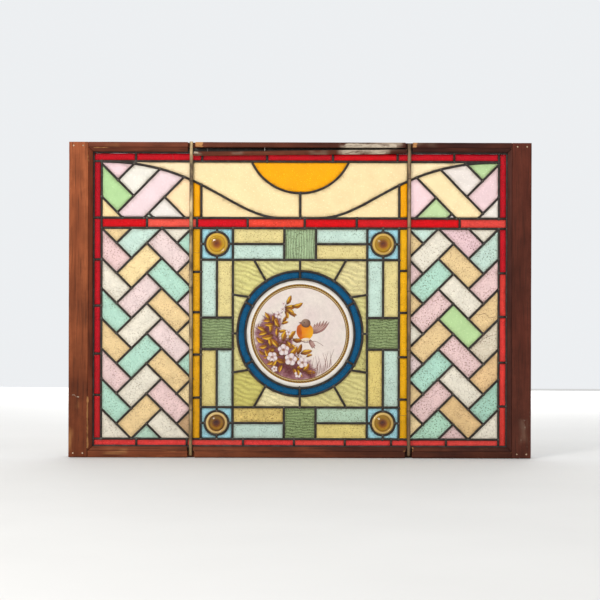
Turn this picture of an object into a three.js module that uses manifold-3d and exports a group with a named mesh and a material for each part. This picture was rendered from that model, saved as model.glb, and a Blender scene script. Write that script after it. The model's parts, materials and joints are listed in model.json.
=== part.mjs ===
// A leaded stained glass window in a mahogany frame, made to be built into an opening.
// Millimetres, +Z up. The front faces -Y. The origin is the middle of the frame's bottom edge, halfway
// through its depth. Outlines are lists of [x, z] points, and run anticlockwise as seen from the front.
import * as THREE from 'three';
import { mergeVertices } from 'three/addons/utils/BufferGeometryUtils.js';
import Module from 'manifold-3d';

const wasm = await Module();
wasm.setup();

// ---- Driving dimensions ----

const GAP = 0.3; // between pieces that touch

// Wooden frame
const FRAME = { halfWidth: 509, height: 694, front: -20, back: 20 };
const SIGHT = { halfWidth: 457.5, bottom: 23, top: 673.5 }; // the clear opening
const BEAD_WIDTH = 9.2; // glazing bead, and the width of the rebate's lip
const LIP_FRONT = -0.2; // the lip that the leaded light rests against
const BEAD = { outerFront: -18.8, innerFront: -14.5, back: -7.3 };

// Vertical saddle bars, let into notches that are open to the front of the rails
const BAR = { x: 240.5, radius: 4.2, sides: 12, y: -11.6, bottom: 3.5, top: 693.5 };
const NOTCH = { x: 239.5, width: 16, back: -7 };
const BEAD_END = { besideNotch: 248, betweenBars: 235 };
const SLIPPED_BEAD = { leftDrop: 9.4, rightDrop: 3.5 }; // the middle top bead has come loose

// Lead cames: an H section with a face on each side of the glass and a thin heart between the panes
const LEAD = { front: -7, back: -0.5, grooveFront: -5.6, grooveBack: -1.9, face: 5, heart: 1.5 };
const GLASS = { front: -5.3, back: -2.2 };
const PANEL = { halfWidth: 466.3, bottom: 13.9, top: 682.5 };

// Centre lines of the main cames
const EDGE = { x: 456.4, bottom: 21.4, top: 670.8 };
const BORDER = { x: 438.8, bottom: 39.7, top: 652.6 };
const BAND = { bottom: 505.4, top: 527.7 };
const AMBER = { outer: 238.8, inner: 218.7 };
const INNER = { x: 148.3, bottom: 109.9, top: 435.5 };
const STRIP = { x: 183.5, bottom: 74.8, top: 470.5 };
const GREEN_HALF = 35;

// Joints along the red border, the band and the amber strips
const TOP_JOINTS = [-363, -216.7, -73.3, 71.9, 214.7, 339.9];
const BAND_JOINTS = [-338.4, -227.9, -115.9, 10.1, 124.7, 240, 352.2];
const BOTTOM_JOINTS = [-360.8, -249.3, -125, -12.5, 99.9, 202, 323.2];
const LEFT_JOINTS = [136.3, 227.4, 333.4, 435, BAND.top];
const RIGHT_JOINTS = [113.2, 209.8, 311, 407.3];
const AMBER_JOINTS = { left: [130.8, 225.8, 319.6, 408.7], right: [127.7, 221.2, 319.3, 411.9] };

// Round work
const ROUNDEL_RADIUS = 120.3;
const RING_RADIUS = 138.4;
const JEWEL_RADIUS = 26.4;
const SUN = { z: 700.6, radius: 117.8 };
const CIRCLE_STEPS = 30;
const JEWEL_STEPS = 12;
const GROUND_LEADS = { side: 35.5, diagonal: 57 }; // degrees round the ring, in each quarter
const GROUND_ENDS = { sideZ: 86, diagonalX: 102 }; // where those leads meet the inner rectangle
const JEWEL_PROFILE = [[23.2, 0], [22.4, 2.6], [19, 4.9], [13, 6.4], [6, 7.1]]; // radius, rise

// The curved came of the upper band runs from the top corner of the border down to the band
const SWEEP = [[-438.8, 652], [-216.5, 652], [-150.5, 528], [-40.5, 527.7]];
const SWEEP_STEPS = 12;
const SLIVER_START = 2; // the step from which the pane above the sweep is wide enough to be glass
// Each lead runs to a lead above it in the list, or to the edge of the field
const UPPER_LEADS = [
  [[-438.8, 574.9], [-392.5, 527.7]],
  [[-310.4, 635.3], [-403.3, 540]],
  [[-258.3, 616.6], [-345.2, 527.7]],
  [[-438.8, 647.5], [-370.9, 579.2]],
  [[-369.6, 644.9], [-402.8, 611.1]],
  [[-299.2, 573.2], [-253.9, 527.7]],
  [[-335.1, 538.5], [-324.3, 527.7]],
];

// Herringbone of the side fields: bricks 2 units by 1, laid at 45 degrees
const BRICK_ROWS = 7;
const UNIT = (BORDER.x - AMBER.outer) / 6; // a brick's short side, measured along x
const UNIT_DOWN = (BAND.bottom - BORDER.bottom) / (2 * BRICK_ROWS); // the same, measured along z

// ---- Outlines ----

function area(outline) {
  let sum = 0;
  outline.forEach(([x, z], i) => {
    const [nextX, nextZ] = outline[(i + 1) % outline.length];
    sum += x * nextZ - nextX * z;
  });
  return sum / 2;
}

function anticlockwise(outline) {
  return area(outline) < 0 ? [...outline].reverse() : outline;
}

function mirrored(outline) {
  return anticlockwise(outline.map(([x, z]) => [-x, z]));
}

function rectangle(left, bottom, right, top) {
  return [[left, bottom], [right, bottom], [right, top], [left, top]];
}

function arc(x, z, radius, startDegrees, endDegrees, steps) {
  return Array.from({ length: steps + 1 }, (_, i) => {
    const angle = THREE.MathUtils.degToRad(startDegrees + ((endDegrees - startDegrees) * i) / steps);
    return [x + radius * Math.cos(angle), z + radius * Math.sin(angle)];
  });
}

function circle(x, z, radius, steps) {
  return arc(x, z, radius, 0, 360, steps).slice(0, steps);
}

// The outline moved inwards on every side.
function inset(outline, distance) {
  const sides = outline.map(([x, z], i) => {
    const [nextX, nextZ] = outline[(i + 1) % outline.length];
    const length = Math.hypot(nextX - x, nextZ - z);
    const along = [(nextX - x) / length, (nextZ - z) / length];
    return { point: [x - along[1] * distance, z + along[0] * distance], along };
  });
  return sides.map((side, i) => {
    const before = sides[(i + sides.length - 1) % sides.length];
    const turn = before.along[0] * side.along[1] - before.along[1] * side.along[0];
    if (Math.abs(turn) < 1e-6) return side.point;
    const dx = side.point[0] - before.point[0];
    const dz = side.point[1] - before.point[1];
    const reach = (dx * side.along[1] - dz * side.along[0]) / turn;
    return [before.point[0] + before.along[0] * reach, before.point[1] + before.along[1] * reach];
  });
}

// Which side of the line from a to b a point is on, as a signed distance, and 0 where it is on the line.
function offLine([x, z], a, b) {
  const length = Math.hypot(b[0] - a[0], b[1] - a[1]);
  const distance = ((b[0] - a[0]) * (z - a[1]) - (b[1] - a[1]) * (x - a[0])) / length;
  return Math.abs(distance) < 1e-6 ? 0 : distance;
}

// The part of an outline on the left of the line from a to b, and the points where the line crosses it.
function leftOf(outline, a, b) {
  const kept = [];
  const crossings = [];
  outline.forEach((point, i) => {
    const next = outline[(i + 1) % outline.length];
    const here = offLine(point, a, b);
    const there = offLine(next, a, b);
    if (here >= 0) kept.push(point);
    if (here * there < 0) {
      const share = here / (here - there);
      const crossing = [point[0] + (next[0] - point[0]) * share, point[1] + (next[1] - point[1]) * share];
      kept.push(crossing);
      crossings.push(crossing);
    }
  });
  return { kept, crossings };
}

// Splits the one pane that a came from a to b runs across.
function splitPanes(panes, [a, b]) {
  return panes.flatMap((outline) => {
    const { kept, crossings } = leftOf(outline, a, b);
    if (crossings.length !== 2) return [outline];
    const middle = [0, 1].map((axis) => (crossings[0][axis] + crossings[1][axis]) / 2);
    const length = Math.hypot(b[0] - a[0], b[1] - a[1]);
    const along = ((middle[0] - a[0]) * (b[0] - a[0]) + (middle[1] - a[1]) * (b[1] - a[1])) / length;
    if (along < 0 || along > length) return [outline];
    return [kept, leftOf(outline, b, a).kept];
  });
}

// What is left of a convex outline inside a rectangle, or nothing.
function clipped(outline, corners) {
  let rest = outline;
  corners.forEach((corner, i) => {
    rest = leftOf(rest, corner, corners[(i + 1) % corners.length]).kept;
  });
  return rest.length > 2 && area(rest) > 1 ? [rest] : [];
}

// ---- Panes, as outlines along the centre lines of the cames round them ----

function row(joints, start, end, bottom, top) {
  const ends = [start, ...joints, end];
  return joints.concat(end).map((joint, i) => rectangle(ends[i], bottom, joint, top));
}

function column(joints, start, end, left, right) {
  const ends = [start, ...joints, end];
  return joints.concat(end).map((joint, i) => rectangle(left, ends[i], right, joint));
}

function borderPanes() {
  return [
    ...row(TOP_JOINTS, -EDGE.x, BORDER.x, BORDER.top, EDGE.top),
    ...row(BAND_JOINTS, -BORDER.x, EDGE.x, BAND.bottom, BAND.top),
    ...row(BOTTOM_JOINTS, -EDGE.x, BORDER.x, EDGE.bottom, BORDER.bottom),
    ...column(LEFT_JOINTS, BORDER.bottom, BORDER.top, -EDGE.x, -BORDER.x),
    ...column(RIGHT_JOINTS, EDGE.bottom, BAND.bottom, BORDER.x, EDGE.x),
    rectangle(BORDER.x, BAND.top, EDGE.x, EDGE.top),
  ];
}

function amberPanes() {
  return [
    ...column(AMBER_JOINTS.left, BORDER.bottom, BAND.bottom, -AMBER.outer, -AMBER.inner),
    ...column(AMBER_JOINTS.right, BORDER.bottom, BAND.bottom, AMBER.inner, AMBER.outer),
  ];
}

// One side field, on the left: four interlocking ranks of bricks, cut by the edges of the field.
function herringbonePanes() {
  const field = rectangle(-BORDER.x, BORDER.bottom, -AMBER.outer, BAND.bottom);
  const place = ([across, down]) => [-BORDER.x + across * UNIT, BAND.bottom - down * UNIT_DOWN];
  const falling = (across, down) => [[0, 0], [2, 2], [1, 3], [-1, 1]].map(([u, v]) => [across + u, down + v]);
  const rising = (across, down) => [[0, 0], [2, -2], [3, -1], [1, 1]].map(([u, v]) => [across + u, down + v]);
  const panes = [];
  for (let k = -1; k <= BRICK_ROWS; k += 1) {
    const bricks = [falling(0, 2 * k), rising(1, 2 * k + 3), falling(4, 2 * k), rising(5, 2 * k + 1)];
    bricks.forEach((brick) => panes.push(...clipped(anticlockwise(brick.map(place)), field)));
  }
  return panes;
}

function sweepPoint(t) {
  const weights = [(1 - t) ** 3, 3 * t * (1 - t) ** 2, 3 * t ** 2 * (1 - t), t ** 3];
  return [0, 1].map((axis) => weights.reduce((sum, weight, i) => sum + weight * SWEEP[i][axis], 0));
}

// The left half of the upper band.
function upperPanes() {
  const sweep = Array.from({ length: SWEEP_STEPS + 1 }, (_, i) => sweepPoint(i / SWEEP_STEPS));
  const line = (x) => [[x, BAND.top - 1], [x, BORDER.top + 1]];
  const below = anticlockwise([[-BORDER.x, BAND.top], [-BORDER.x, BORDER.top], ...sweep.slice(1)]);
  const [nearBar, corner] = [leftOf(below, ...line(-AMBER.inner)), leftOf(below, ...line(-AMBER.outer))];
  const triangle = leftOf(below, ...line(-AMBER.inner).reverse()).kept;
  const strip = leftOf(nearBar.kept, ...line(-AMBER.outer).reverse()).kept;
  const halfChord = Math.sqrt(SUN.radius ** 2 - (SUN.z - BORDER.top) ** 2);
  const chordAngle = THREE.MathUtils.radToDeg(Math.atan2(BORDER.top - SUN.z, -halfChord)) + 360;
  const sunEdge = arc(0, SUN.z, SUN.radius, chordAngle, 270, 5);
  const above = anticlockwise([...sweep.slice(SLIVER_START), [0, BAND.top], ...sunEdge.reverse(),
    [sweep[SLIVER_START][0], BORDER.top]]);
  const cream = leftOf(above, ...line(-AMBER.outer).reverse()).kept;
  const sliver = leftOf(above, ...line(-AMBER.outer)).kept;
  const bricks = UPPER_LEADS.reduce(splitPanes, [corner.kept]);
  return [triangle, strip, cream, sliver, ...bricks];
}

function sunOutline() {
  const halfChord = Math.sqrt(SUN.radius ** 2 - (SUN.z - BORDER.top) ** 2);
  const angle = THREE.MathUtils.radToDeg(Math.asin((BORDER.top - SUN.z) / SUN.radius));
  return [[-halfChord, BORDER.top], ...arc(0, SUN.z, SUN.radius, -180 - angle, angle, 10).slice(1)];
}

// The four panes round a jewel, in its corner square.
function spandrelPanes(x, z) {
  const half = (AMBER.inner - INNER.x) / 2;
  return [0, 90, 180, 270].map((start) => {
    const edge = arc(x, z, JEWEL_RADIUS, start, start + 90, JEWEL_STEPS / 4).reverse();
    const turn = THREE.MathUtils.degToRad(start);
    const corners = [[half, 0], [half, half], [0, half]].map(([u, v]) => [
      x + u * Math.cos(turn) - v * Math.sin(turn),
      z + u * Math.sin(turn) + v * Math.cos(turn),
    ]);
    return anticlockwise([...corners, ...edge]);
  });
}

const middleZ = (INNER.bottom + INNER.top) / 2;

function ringOutline(index) {
  const start = 30 + index * 60;
  const steps = CIRCLE_STEPS / 6;
  return [
    ...arc(0, middleZ, RING_RADIUS, start, start + 60, steps),
    ...arc(0, middleZ, ROUNDEL_RADIUS, start + 60, start, steps),
  ];
}

// The three ground panes of the upper right quarter, from the side to the top.
function groundQuarter() {
  const { side, diagonal } = GROUND_LEADS;
  const edge = (start, end, steps) => arc(0, middleZ, RING_RADIUS, end, start, steps);
  const top = INNER.top;
  const sideEnd = [INNER.x, middleZ + GROUND_ENDS.sideZ];
  const diagonalEnd = [GROUND_ENDS.diagonalX, top];
  return [
    [[INNER.x, middleZ], sideEnd, ...edge(0, side, 3)],
    [sideEnd, [INNER.x, top], diagonalEnd, ...edge(side, diagonal, 2)],
    [diagonalEnd, [0, top], ...edge(diagonal, 90, 3)],
  ];
}

function groundOutlines() {
  const right = groundQuarter();
  const upper = [...right, ...right.map(mirrored).reverse()];
  const lower = upper.map((pane) => anticlockwise(pane.map(([x, z]) => [x, 2 * middleZ - z])));
  return [...upper, ...lower.reverse()];
}

// The pairs of strips between the squares, clockwise from the upper left one.
function stripOutlines() {
  const [low, high] = [middleZ - GREEN_HALF, middleZ + GREEN_HALF];
  const across = (left, right) => [
    rectangle(left, STRIP.top, right, BAND.bottom),
    rectangle(left, INNER.top, right, STRIP.top),
    rectangle(left, STRIP.bottom, right, INNER.bottom),
    rectangle(left, BORDER.bottom, right, STRIP.bottom),
  ];
  const upright = (bottom, top) => [
    rectangle(-AMBER.inner, bottom, -STRIP.x, top),
    rectangle(-STRIP.x, bottom, -INNER.x, top),
    rectangle(INNER.x, bottom, STRIP.x, top),
    rectangle(STRIP.x, bottom, AMBER.inner, top),
  ];
  return [
    ...across(-INNER.x, -GREEN_HALF),
    ...across(GREEN_HALF, INNER.x),
    ...upright(high, INNER.top),
    ...upright(INNER.bottom, low),
  ];
}

const jewelPlaces = {
  jewel_top_left: [-STRIP.x, STRIP.top],
  jewel_top_right: [STRIP.x, STRIP.top],
  jewel_bottom_left: [-STRIP.x, STRIP.bottom],
  jewel_bottom_right: [STRIP.x, STRIP.bottom],
};

const greenOutlines = {
  green_pane_top: rectangle(-GREEN_HALF, INNER.top, GREEN_HALF, BAND.bottom),
  green_pane_bottom: rectangle(-GREEN_HALF, BORDER.bottom, GREEN_HALF, INNER.bottom),
  green_pane_left: rectangle(-AMBER.inner, middleZ - GREEN_HALF, -INNER.x, middleZ + GREEN_HALF),
  green_pane_right: rectangle(INNER.x, middleZ - GREEN_HALF, AMBER.inner, middleZ + GREEN_HALF),
};

// ---- Solids ----

function solid(geometry) {
  const bare = geometry.index ? geometry.toNonIndexed() : geometry.clone();
  bare.deleteAttribute('normal');
  bare.deleteAttribute('uv');
  const merged = mergeVertices(bare);
  return new wasm.Manifold(new wasm.Mesh({
    numProp: 3,
    vertProperties: new Float32Array(merged.attributes.position.array),
    triVerts: new Uint32Array(merged.index.array),
  }));
}

function geometryOf(manifold) {
  const { vertProperties, triVerts } = manifold.getMesh();
  const geometry = new THREE.BufferGeometry();
  geometry.setAttribute('position', new THREE.BufferAttribute(new Float32Array(vertProperties), 3));
  geometry.setIndex(new THREE.BufferAttribute(new Uint32Array(triVerts), 1));
  geometry.computeVertexNormals();
  return geometry;
}

// An outline in the window's plane, made solid from one depth to another.
function slab(outline, front, back) {
  const shape = new THREE.Shape(outline.map(([x, z]) => new THREE.Vector2(x, z)));
  const geometry = new THREE.ExtrudeGeometry(shape, { depth: back - front, bevelEnabled: false });
  geometry.rotateX(Math.PI / 2);
  geometry.translate(0, back, 0);
  return geometry;
}

// A profile of [across, depth] points run along x, from one end to the other. Across is up the window.
function runAlongX(profile, start, end) {
  const shape = new THREE.Shape(profile.map(([across, depth]) => new THREE.Vector2(depth, across)));
  const geometry = new THREE.ExtrudeGeometry(shape, { depth: end - start, bevelEnabled: false });
  geometry.applyMatrix4(new THREE.Matrix4().set(0, 0, 1, start, 1, 0, 0, 0, 0, 1, 0, 0, 0, 0, 0, 1));
  return geometry;
}

function box(left, right, front, back, bottom, top) {
  return slab(rectangle(left, bottom, right, top), front, back);
}

// ---- Materials ----

const finishes = {
  mahogany: new THREE.MeshStandardMaterial({ color: 0x6b3423, roughness: 0.5, metalness: 0 }),
  steel: new THREE.MeshStandardMaterial({ color: 0x8a7458, roughness: 0.6, metalness: 0.6 }),
  lead: new THREE.MeshStandardMaterial({ color: 0x3f3a36, roughness: 0.6, metalness: 0.7 }),
  paintedGlass: new THREE.MeshStandardMaterial({ color: 0xefe2d6, roughness: 0.2, metalness: 0 }),
  blueGlass: new THREE.MeshStandardMaterial({ color: 0x005f96, roughness: 0.15, metalness: 0 }),
  amberGlass: new THREE.MeshStandardMaterial({ color: 0xf0b214, roughness: 0.15, metalness: 0 }),
  groundGlass: new THREE.MeshStandardMaterial({ color: 0xe1dc96, roughness: 0.2, metalness: 0 }),
  greenGlass: new THREE.MeshStandardMaterial({ color: 0x96af82, roughness: 0.2, metalness: 0 }),
  stripGlass: new THREE.MeshStandardMaterial({ color: 0xe6dc9c, roughness: 0.2, metalness: 0 }),
};

const stainedGlassWindow = new THREE.Group();
stainedGlassWindow.name = 'stained_glass_window';

function addPiece(name, geometry, material) {
  const mesh = new THREE.Mesh(geometry, material.clone());
  mesh.name = name;
  stainedGlassWindow.add(mesh);
  return mesh;
}

// ---- Frame: stiles of full height, with the rails between them ----

function addStile(name, side) {
  const outer = side * FRAME.halfWidth;
  const rebate = side * (SIGHT.halfWidth + BEAD_WIDTH + GAP / 2);
  const lip = side * SIGHT.halfWidth;
  const [frontLeft, frontRight] = [Math.min(outer, rebate), Math.max(outer, rebate)];
  const [backLeft, backRight] = [Math.min(outer, lip), Math.max(outer, lip)];
  const front = solid(box(frontLeft, frontRight, FRAME.front, LIP_FRONT, 0, FRAME.height));
  const back = solid(box(backLeft, backRight, LIP_FRONT, FRAME.back, 0, FRAME.height));
  addPiece(name, geometryOf(front.add(back)), finishes.mahogany);
}

// A rail: edge is its outer edge, and sight the edge of the clear opening.
function addRail(name, edge, sight) {
  const towards = Math.sign(sight - edge);
  const rebate = sight - towards * (BEAD_WIDTH + GAP / 2);
  const profile = [[edge, FRAME.front], [rebate, FRAME.front], [rebate, LIP_FRONT], [sight, LIP_FRONT],
    [sight, FRAME.back], [edge, FRAME.back]];
  const ordered = towards > 0 ? profile : [...profile].reverse();
  const halfFront = SIGHT.halfWidth + BEAD_WIDTH - GAP / 2;
  const halfBack = SIGHT.halfWidth - GAP;
  let rail = solid(runAlongX(ordered, -halfFront, halfFront));
  const [low, high] = [Math.min(edge, sight) - 1, Math.max(edge, sight) + 1];
  [-1, 1].forEach((side) => {
    const ends = [side * halfBack, side * (halfFront + 1)];
    const shoulder = box(Math.min(...ends), Math.max(...ends), LIP_FRONT - GAP, FRAME.back + 1, low, high);
    const middle = side * NOTCH.x;
    const notch = box(middle - NOTCH.width / 2, middle + NOTCH.width / 2, FRAME.front - 1, NOTCH.back,
      low, high);
    rail = rail.subtract(solid(shoulder)).subtract(solid(notch));
  });
  addPiece(name, geometryOf(rail), finishes.mahogany);
}

addStile('stile_left', -1);
addStile('stile_right', 1);
addRail('rail_bottom', 0, SIGHT.bottom);
addRail('rail_top', FRAME.height, SIGHT.top);

// ---- Glazing beads: splayed strips, mitred at the corners, that hold the leaded light in its rebate ----

// All four beads with whole lengths, as one ring of the splayed section with square inside corners.
function beadSide(name, corners, cutters) {
  const [outerStart, outerEnd, innerEnd, innerStart] = corners;
  const points = [];
  const add = ([x, z], y) => points.push(new THREE.Vector3(x, y, z)) - 1;
  const back = [outerStart, outerEnd, innerEnd, innerStart].map((corner) => add(corner, BEAD.back));
  const front = [outerStart, outerEnd].map((corner) => add(corner, BEAD.outerFront));
  front.push(...[innerEnd, innerStart].map((corner) => add(corner, BEAD.innerFront)));
  const quads = [back, [...front].reverse()];
  [0, 1, 2, 3].forEach((i) => quads.push([back[i], front[i], front[(i + 1) % 4], back[(i + 1) % 4]]));
  const index = quads.flatMap(([a, b, c, d]) => [a, b, c, a, c, d]);
  const geometry = new THREE.BufferGeometry().setFromPoints(points).setIndex(index);
  const whole = solid(geometry);
  const piece = cutters.reduce((rest, cutter) => rest.intersect(solid(cutter)), whole);
  return addPiece(name, geometryOf(piece), finishes.mahogany);
}

const bead = {
  outerX: SIGHT.halfWidth + BEAD_WIDTH - GAP / 2,
  innerX: SIGHT.halfWidth,
  outerTop: SIGHT.top + BEAD_WIDTH - GAP / 2,
  outerBottom: SIGHT.bottom - BEAD_WIDTH + GAP / 2,
};
const mitre = GAP / 2;

function addUprightBead(name, side) {
  const corners = [
    [side * bead.outerX, bead.outerBottom + mitre], [side * bead.outerX, bead.outerTop - mitre],
    [side * bead.innerX, SIGHT.top - mitre], [side * bead.innerX, SIGHT.bottom + mitre],
  ];
  beadSide(name, side < 0 ? corners : [corners[1], corners[0], corners[3], corners[2]], []);
}

function addLevelBead(name, outer, inner, left, right) {
  const corners = [
    [-bead.outerX + mitre, outer], [bead.outerX - mitre, outer],
    [bead.innerX - mitre, inner], [-bead.innerX + mitre, inner],
  ];
  const ordered = outer < inner ? [corners[1], corners[0], corners[3], corners[2]] : corners;
  const reach = 10;
  const length = box(left, right, FRAME.front, FRAME.back, Math.min(outer, inner) - reach,
    Math.max(outer, inner) + reach);
  return beadSide(name, ordered, [length]);
}

addUprightBead('bead_left', -1);
addUprightBead('bead_right', 1);
[['top', bead.outerTop, SIGHT.top], ['bottom', bead.outerBottom, SIGHT.bottom]].forEach(
  ([edge, outer, inner]) => {
    addLevelBead(`bead_${edge}_left`, outer, inner, -FRAME.halfWidth, -BEAD_END.besideNotch);
    addLevelBead(`bead_${edge}_right`, outer, inner, BEAD_END.besideNotch, FRAME.halfWidth);
    const middle = addLevelBead(`bead_${edge}_middle`, outer, inner, -BEAD_END.betweenBars,
      BEAD_END.betweenBars);
    if (edge === 'top') slip(middle);
  },
);

// Turns and lowers the loose bead about the middle of its length.
function slip(piece) {
  const { leftDrop, rightDrop } = SLIPPED_BEAD;
  const turn = Math.atan2(leftDrop - rightDrop, 2 * BEAD_END.betweenBars);
  piece.geometry.translate(0, 0, -SIGHT.top);
  piece.rotation.y = -turn;
  piece.position.z = SIGHT.top - (leftDrop + rightDrop) / 2;
}

// ---- Saddle bars ----

[['left', -1], ['right', 1]].forEach(([name, side]) => {
  const outline = new THREE.CylinderGeometry(BAR.radius, BAR.radius, BAR.top - BAR.bottom, BAR.sides);
  outline.rotateX(Math.PI / 2);
  const bar = addPiece(`saddle_bar_${name}`, outline, finishes.steel);
  bar.position.set(side * BAR.x, BAR.y, (BAR.top + BAR.bottom) / 2);
});

// ---- Leaded light: the soldered cames, with the small panes cemented into them ----

const loosePanes = [
  ['roundel', circle(0, middleZ, ROUNDEL_RADIUS, CIRCLE_STEPS), finishes.paintedGlass],
  ['sun_pane', sunOutline(), finishes.amberGlass],
  ...Array.from({ length: 6 }, (_, i) => [`ring_pane_${i + 1}`, ringOutline(i), finishes.blueGlass]),
  ...groundOutlines().map((outline, i) => [`ground_pane_${i + 1}`, outline, finishes.groundGlass]),
  ...Object.entries(greenOutlines).map(([name, outline]) => [name, outline, finishes.greenGlass]),
  ...stripOutlines().map((outline, i) => [`strip_pane_${i + 1}`, outline, finishes.stripGlass]),
];

const leftPanes = [...herringbonePanes(), ...upperPanes()];
const smallPanes = [
  ...borderPanes(),
  ...amberPanes(),
  ...leftPanes,
  ...leftPanes.map(mirrored),
  ...Object.values(jewelPlaces).flatMap(([x, z]) => spandrelPanes(x, z)),
];

const jewelOutlines = Object.values(jewelPlaces).map(([x, z]) => circle(x, z, JEWEL_RADIUS, JEWEL_STEPS));
const daylight = LEAD.face / 2;
const beyond = 1;

let leadedLight = solid(box(-PANEL.halfWidth, PANEL.halfWidth, LEAD.front, LEAD.back, PANEL.bottom, PANEL.top));

smallPanes.forEach((outline) => {
  const opening = inset(outline, daylight);
  leadedLight = leadedLight
    .subtract(solid(slab(opening, LEAD.front - beyond, GLASS.front)))
    .subtract(solid(slab(opening, GLASS.back, LEAD.back + beyond)));
});

[...loosePanes.map(([, outline]) => outline), ...jewelOutlines].forEach((outline) => {
  const opening = slab(inset(outline, daylight), LEAD.front - beyond, LEAD.back + beyond);
  const groove = slab(inset(outline, LEAD.heart / 2), LEAD.grooveFront, LEAD.grooveBack);
  leadedLight = leadedLight.subtract(solid(opening)).subtract(solid(groove));
});

addPiece('leaded_light', geometryOf(leadedLight), finishes.lead);

// ---- Panes in grooves of their own ----

loosePanes.forEach(([name, outline, material]) => {
  addPiece(name, slab(inset(outline, LEAD.heart / 2 + GAP), GLASS.front, GLASS.back), material);
});

// A cast jewel: a thin rim in the came's groove, and a dome that stands forward through it.
Object.entries(jewelPlaces).forEach(([name, [x, z]]) => {
  const rim = JEWEL_RADIUS - LEAD.heart / 2 - GAP;
  const dome = JEWEL_PROFILE.map(([radius, rise]) => [radius, GLASS.front - rise]);
  const centreFront = GLASS.front - JEWEL_PROFILE.at(-1)[1] - GAP;
  const profile = [[0, centreFront], ...dome.reverse(), [rim, GLASS.front], [rim, GLASS.back], [0, GLASS.back]];
  const points = profile.map(([radius, y]) => new THREE.Vector2(radius, y));
  const jewel = addPiece(name, new THREE.LatheGeometry(points, JEWEL_STEPS), finishes.amberGlass);
  jewel.position.set(x, 0, z);
});

export default stainedGlassWindow;
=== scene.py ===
"""Looks of the leaded stained glass window: every pane, came, bar, bead and stick as its own mesh.

Blender works in metres, +Z up, front facing -Y. Layout values here are in millimetres, (x, z) as seen from
the front, and are turned into metres where a mesh is made.
"""
import json
import math
import random
import bmesh
import bpy
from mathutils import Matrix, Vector, noise

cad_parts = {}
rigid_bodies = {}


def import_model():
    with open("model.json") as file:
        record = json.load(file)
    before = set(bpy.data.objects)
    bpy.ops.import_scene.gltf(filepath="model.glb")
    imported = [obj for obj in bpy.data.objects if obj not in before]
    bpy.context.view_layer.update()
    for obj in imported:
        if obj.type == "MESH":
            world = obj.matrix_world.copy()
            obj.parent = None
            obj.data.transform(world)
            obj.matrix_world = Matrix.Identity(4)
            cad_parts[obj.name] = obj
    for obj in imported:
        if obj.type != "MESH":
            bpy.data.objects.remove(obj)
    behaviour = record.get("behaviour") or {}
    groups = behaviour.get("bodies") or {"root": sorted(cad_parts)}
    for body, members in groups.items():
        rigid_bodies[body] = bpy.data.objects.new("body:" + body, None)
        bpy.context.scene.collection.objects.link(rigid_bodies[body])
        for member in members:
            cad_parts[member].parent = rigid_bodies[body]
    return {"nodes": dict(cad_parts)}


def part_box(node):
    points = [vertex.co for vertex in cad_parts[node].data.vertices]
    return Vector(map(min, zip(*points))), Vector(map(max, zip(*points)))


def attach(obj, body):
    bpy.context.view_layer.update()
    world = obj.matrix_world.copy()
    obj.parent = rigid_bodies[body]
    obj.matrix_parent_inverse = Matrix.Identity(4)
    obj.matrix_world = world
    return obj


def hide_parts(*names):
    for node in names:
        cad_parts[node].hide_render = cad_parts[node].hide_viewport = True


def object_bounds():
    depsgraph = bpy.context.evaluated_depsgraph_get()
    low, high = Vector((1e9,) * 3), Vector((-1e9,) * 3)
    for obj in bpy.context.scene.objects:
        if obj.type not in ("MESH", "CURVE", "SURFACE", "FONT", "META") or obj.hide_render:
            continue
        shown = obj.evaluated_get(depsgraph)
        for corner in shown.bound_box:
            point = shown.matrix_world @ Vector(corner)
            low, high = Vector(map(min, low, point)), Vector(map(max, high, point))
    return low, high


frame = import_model()
cad_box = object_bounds()
dice = random.Random(7)
MM = 0.001

# ---- Layout, in millimetres ----


def node_box(name):
    """A node's left, right, bottom and top, in millimetres."""
    low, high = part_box(name)
    return low[0] / MM, high[0] / MM, low[2] / MM, high[2] / MM


WIDTH, HEIGHT = (round((cad_box[1][axis] - cad_box[0][axis]) / MM) for axis in (0, 2))
HALF_HEART = 0.75  # half the thin heart of a lead came
PANE_MARGIN = 1.05  # from a came's centre line to the edge of the glass in its groove
HALF_FACE = 2.5  # half the face of a came
EDGE_HALF_FACE = 6.2  # half the face of the outer lead
LEAF_INNER = (-5.4, -2.1)  # the inner sides of a came's front and back leaves
LEAF_OUTER = (-7.0, -0.5)
GLASS_FRONT, GLASS_BACK = -5.3, -2.2

PANEL = node_box("leaded_light")
left, right, bottom, top = node_box("green_pane_right")
INNER_X, AMBER_IN = left - PANE_MARGIN, right + PANE_MARGIN
GREEN_HALF = (top - bottom) / 2 + PANE_MARGIN
left, right, bottom, top = node_box("green_pane_top")
INNER_TOP, BAND_BOTTOM = bottom - PANE_MARGIN, top + PANE_MARGIN
left, right, bottom, top = node_box("green_pane_bottom")
BORDER_BOTTOM, INNER_BOTTOM = bottom - PANE_MARGIN, top + PANE_MARGIN
MIDDLE_Z = (INNER_BOTTOM + INNER_TOP) / 2
left, right, bottom, top = node_box("jewel_top_right")
STRIP_X, STRIP_TOP = (left + right) / 2, (bottom + top) / 2
STRIP_BOTTOM = 2 * MIDDLE_Z - STRIP_TOP
JEWEL_RADIUS = (right - left) / 2 + PANE_MARGIN
ROUNDEL_RADIUS, RING_RADIUS = 120.3, 138.4
BORDER_TOP = node_box("sun_pane")[3] + PANE_MARGIN
SUN_Z, SUN_RADIUS = BORDER_TOP + 48, 117.8
BORDER_X, AMBER_OUT, BAND_TOP = 438.8, 238.8, 527.7
EDGE_X, EDGE_BOTTOM, EDGE_TOP = 456.4, 21.4, 670.8

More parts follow.
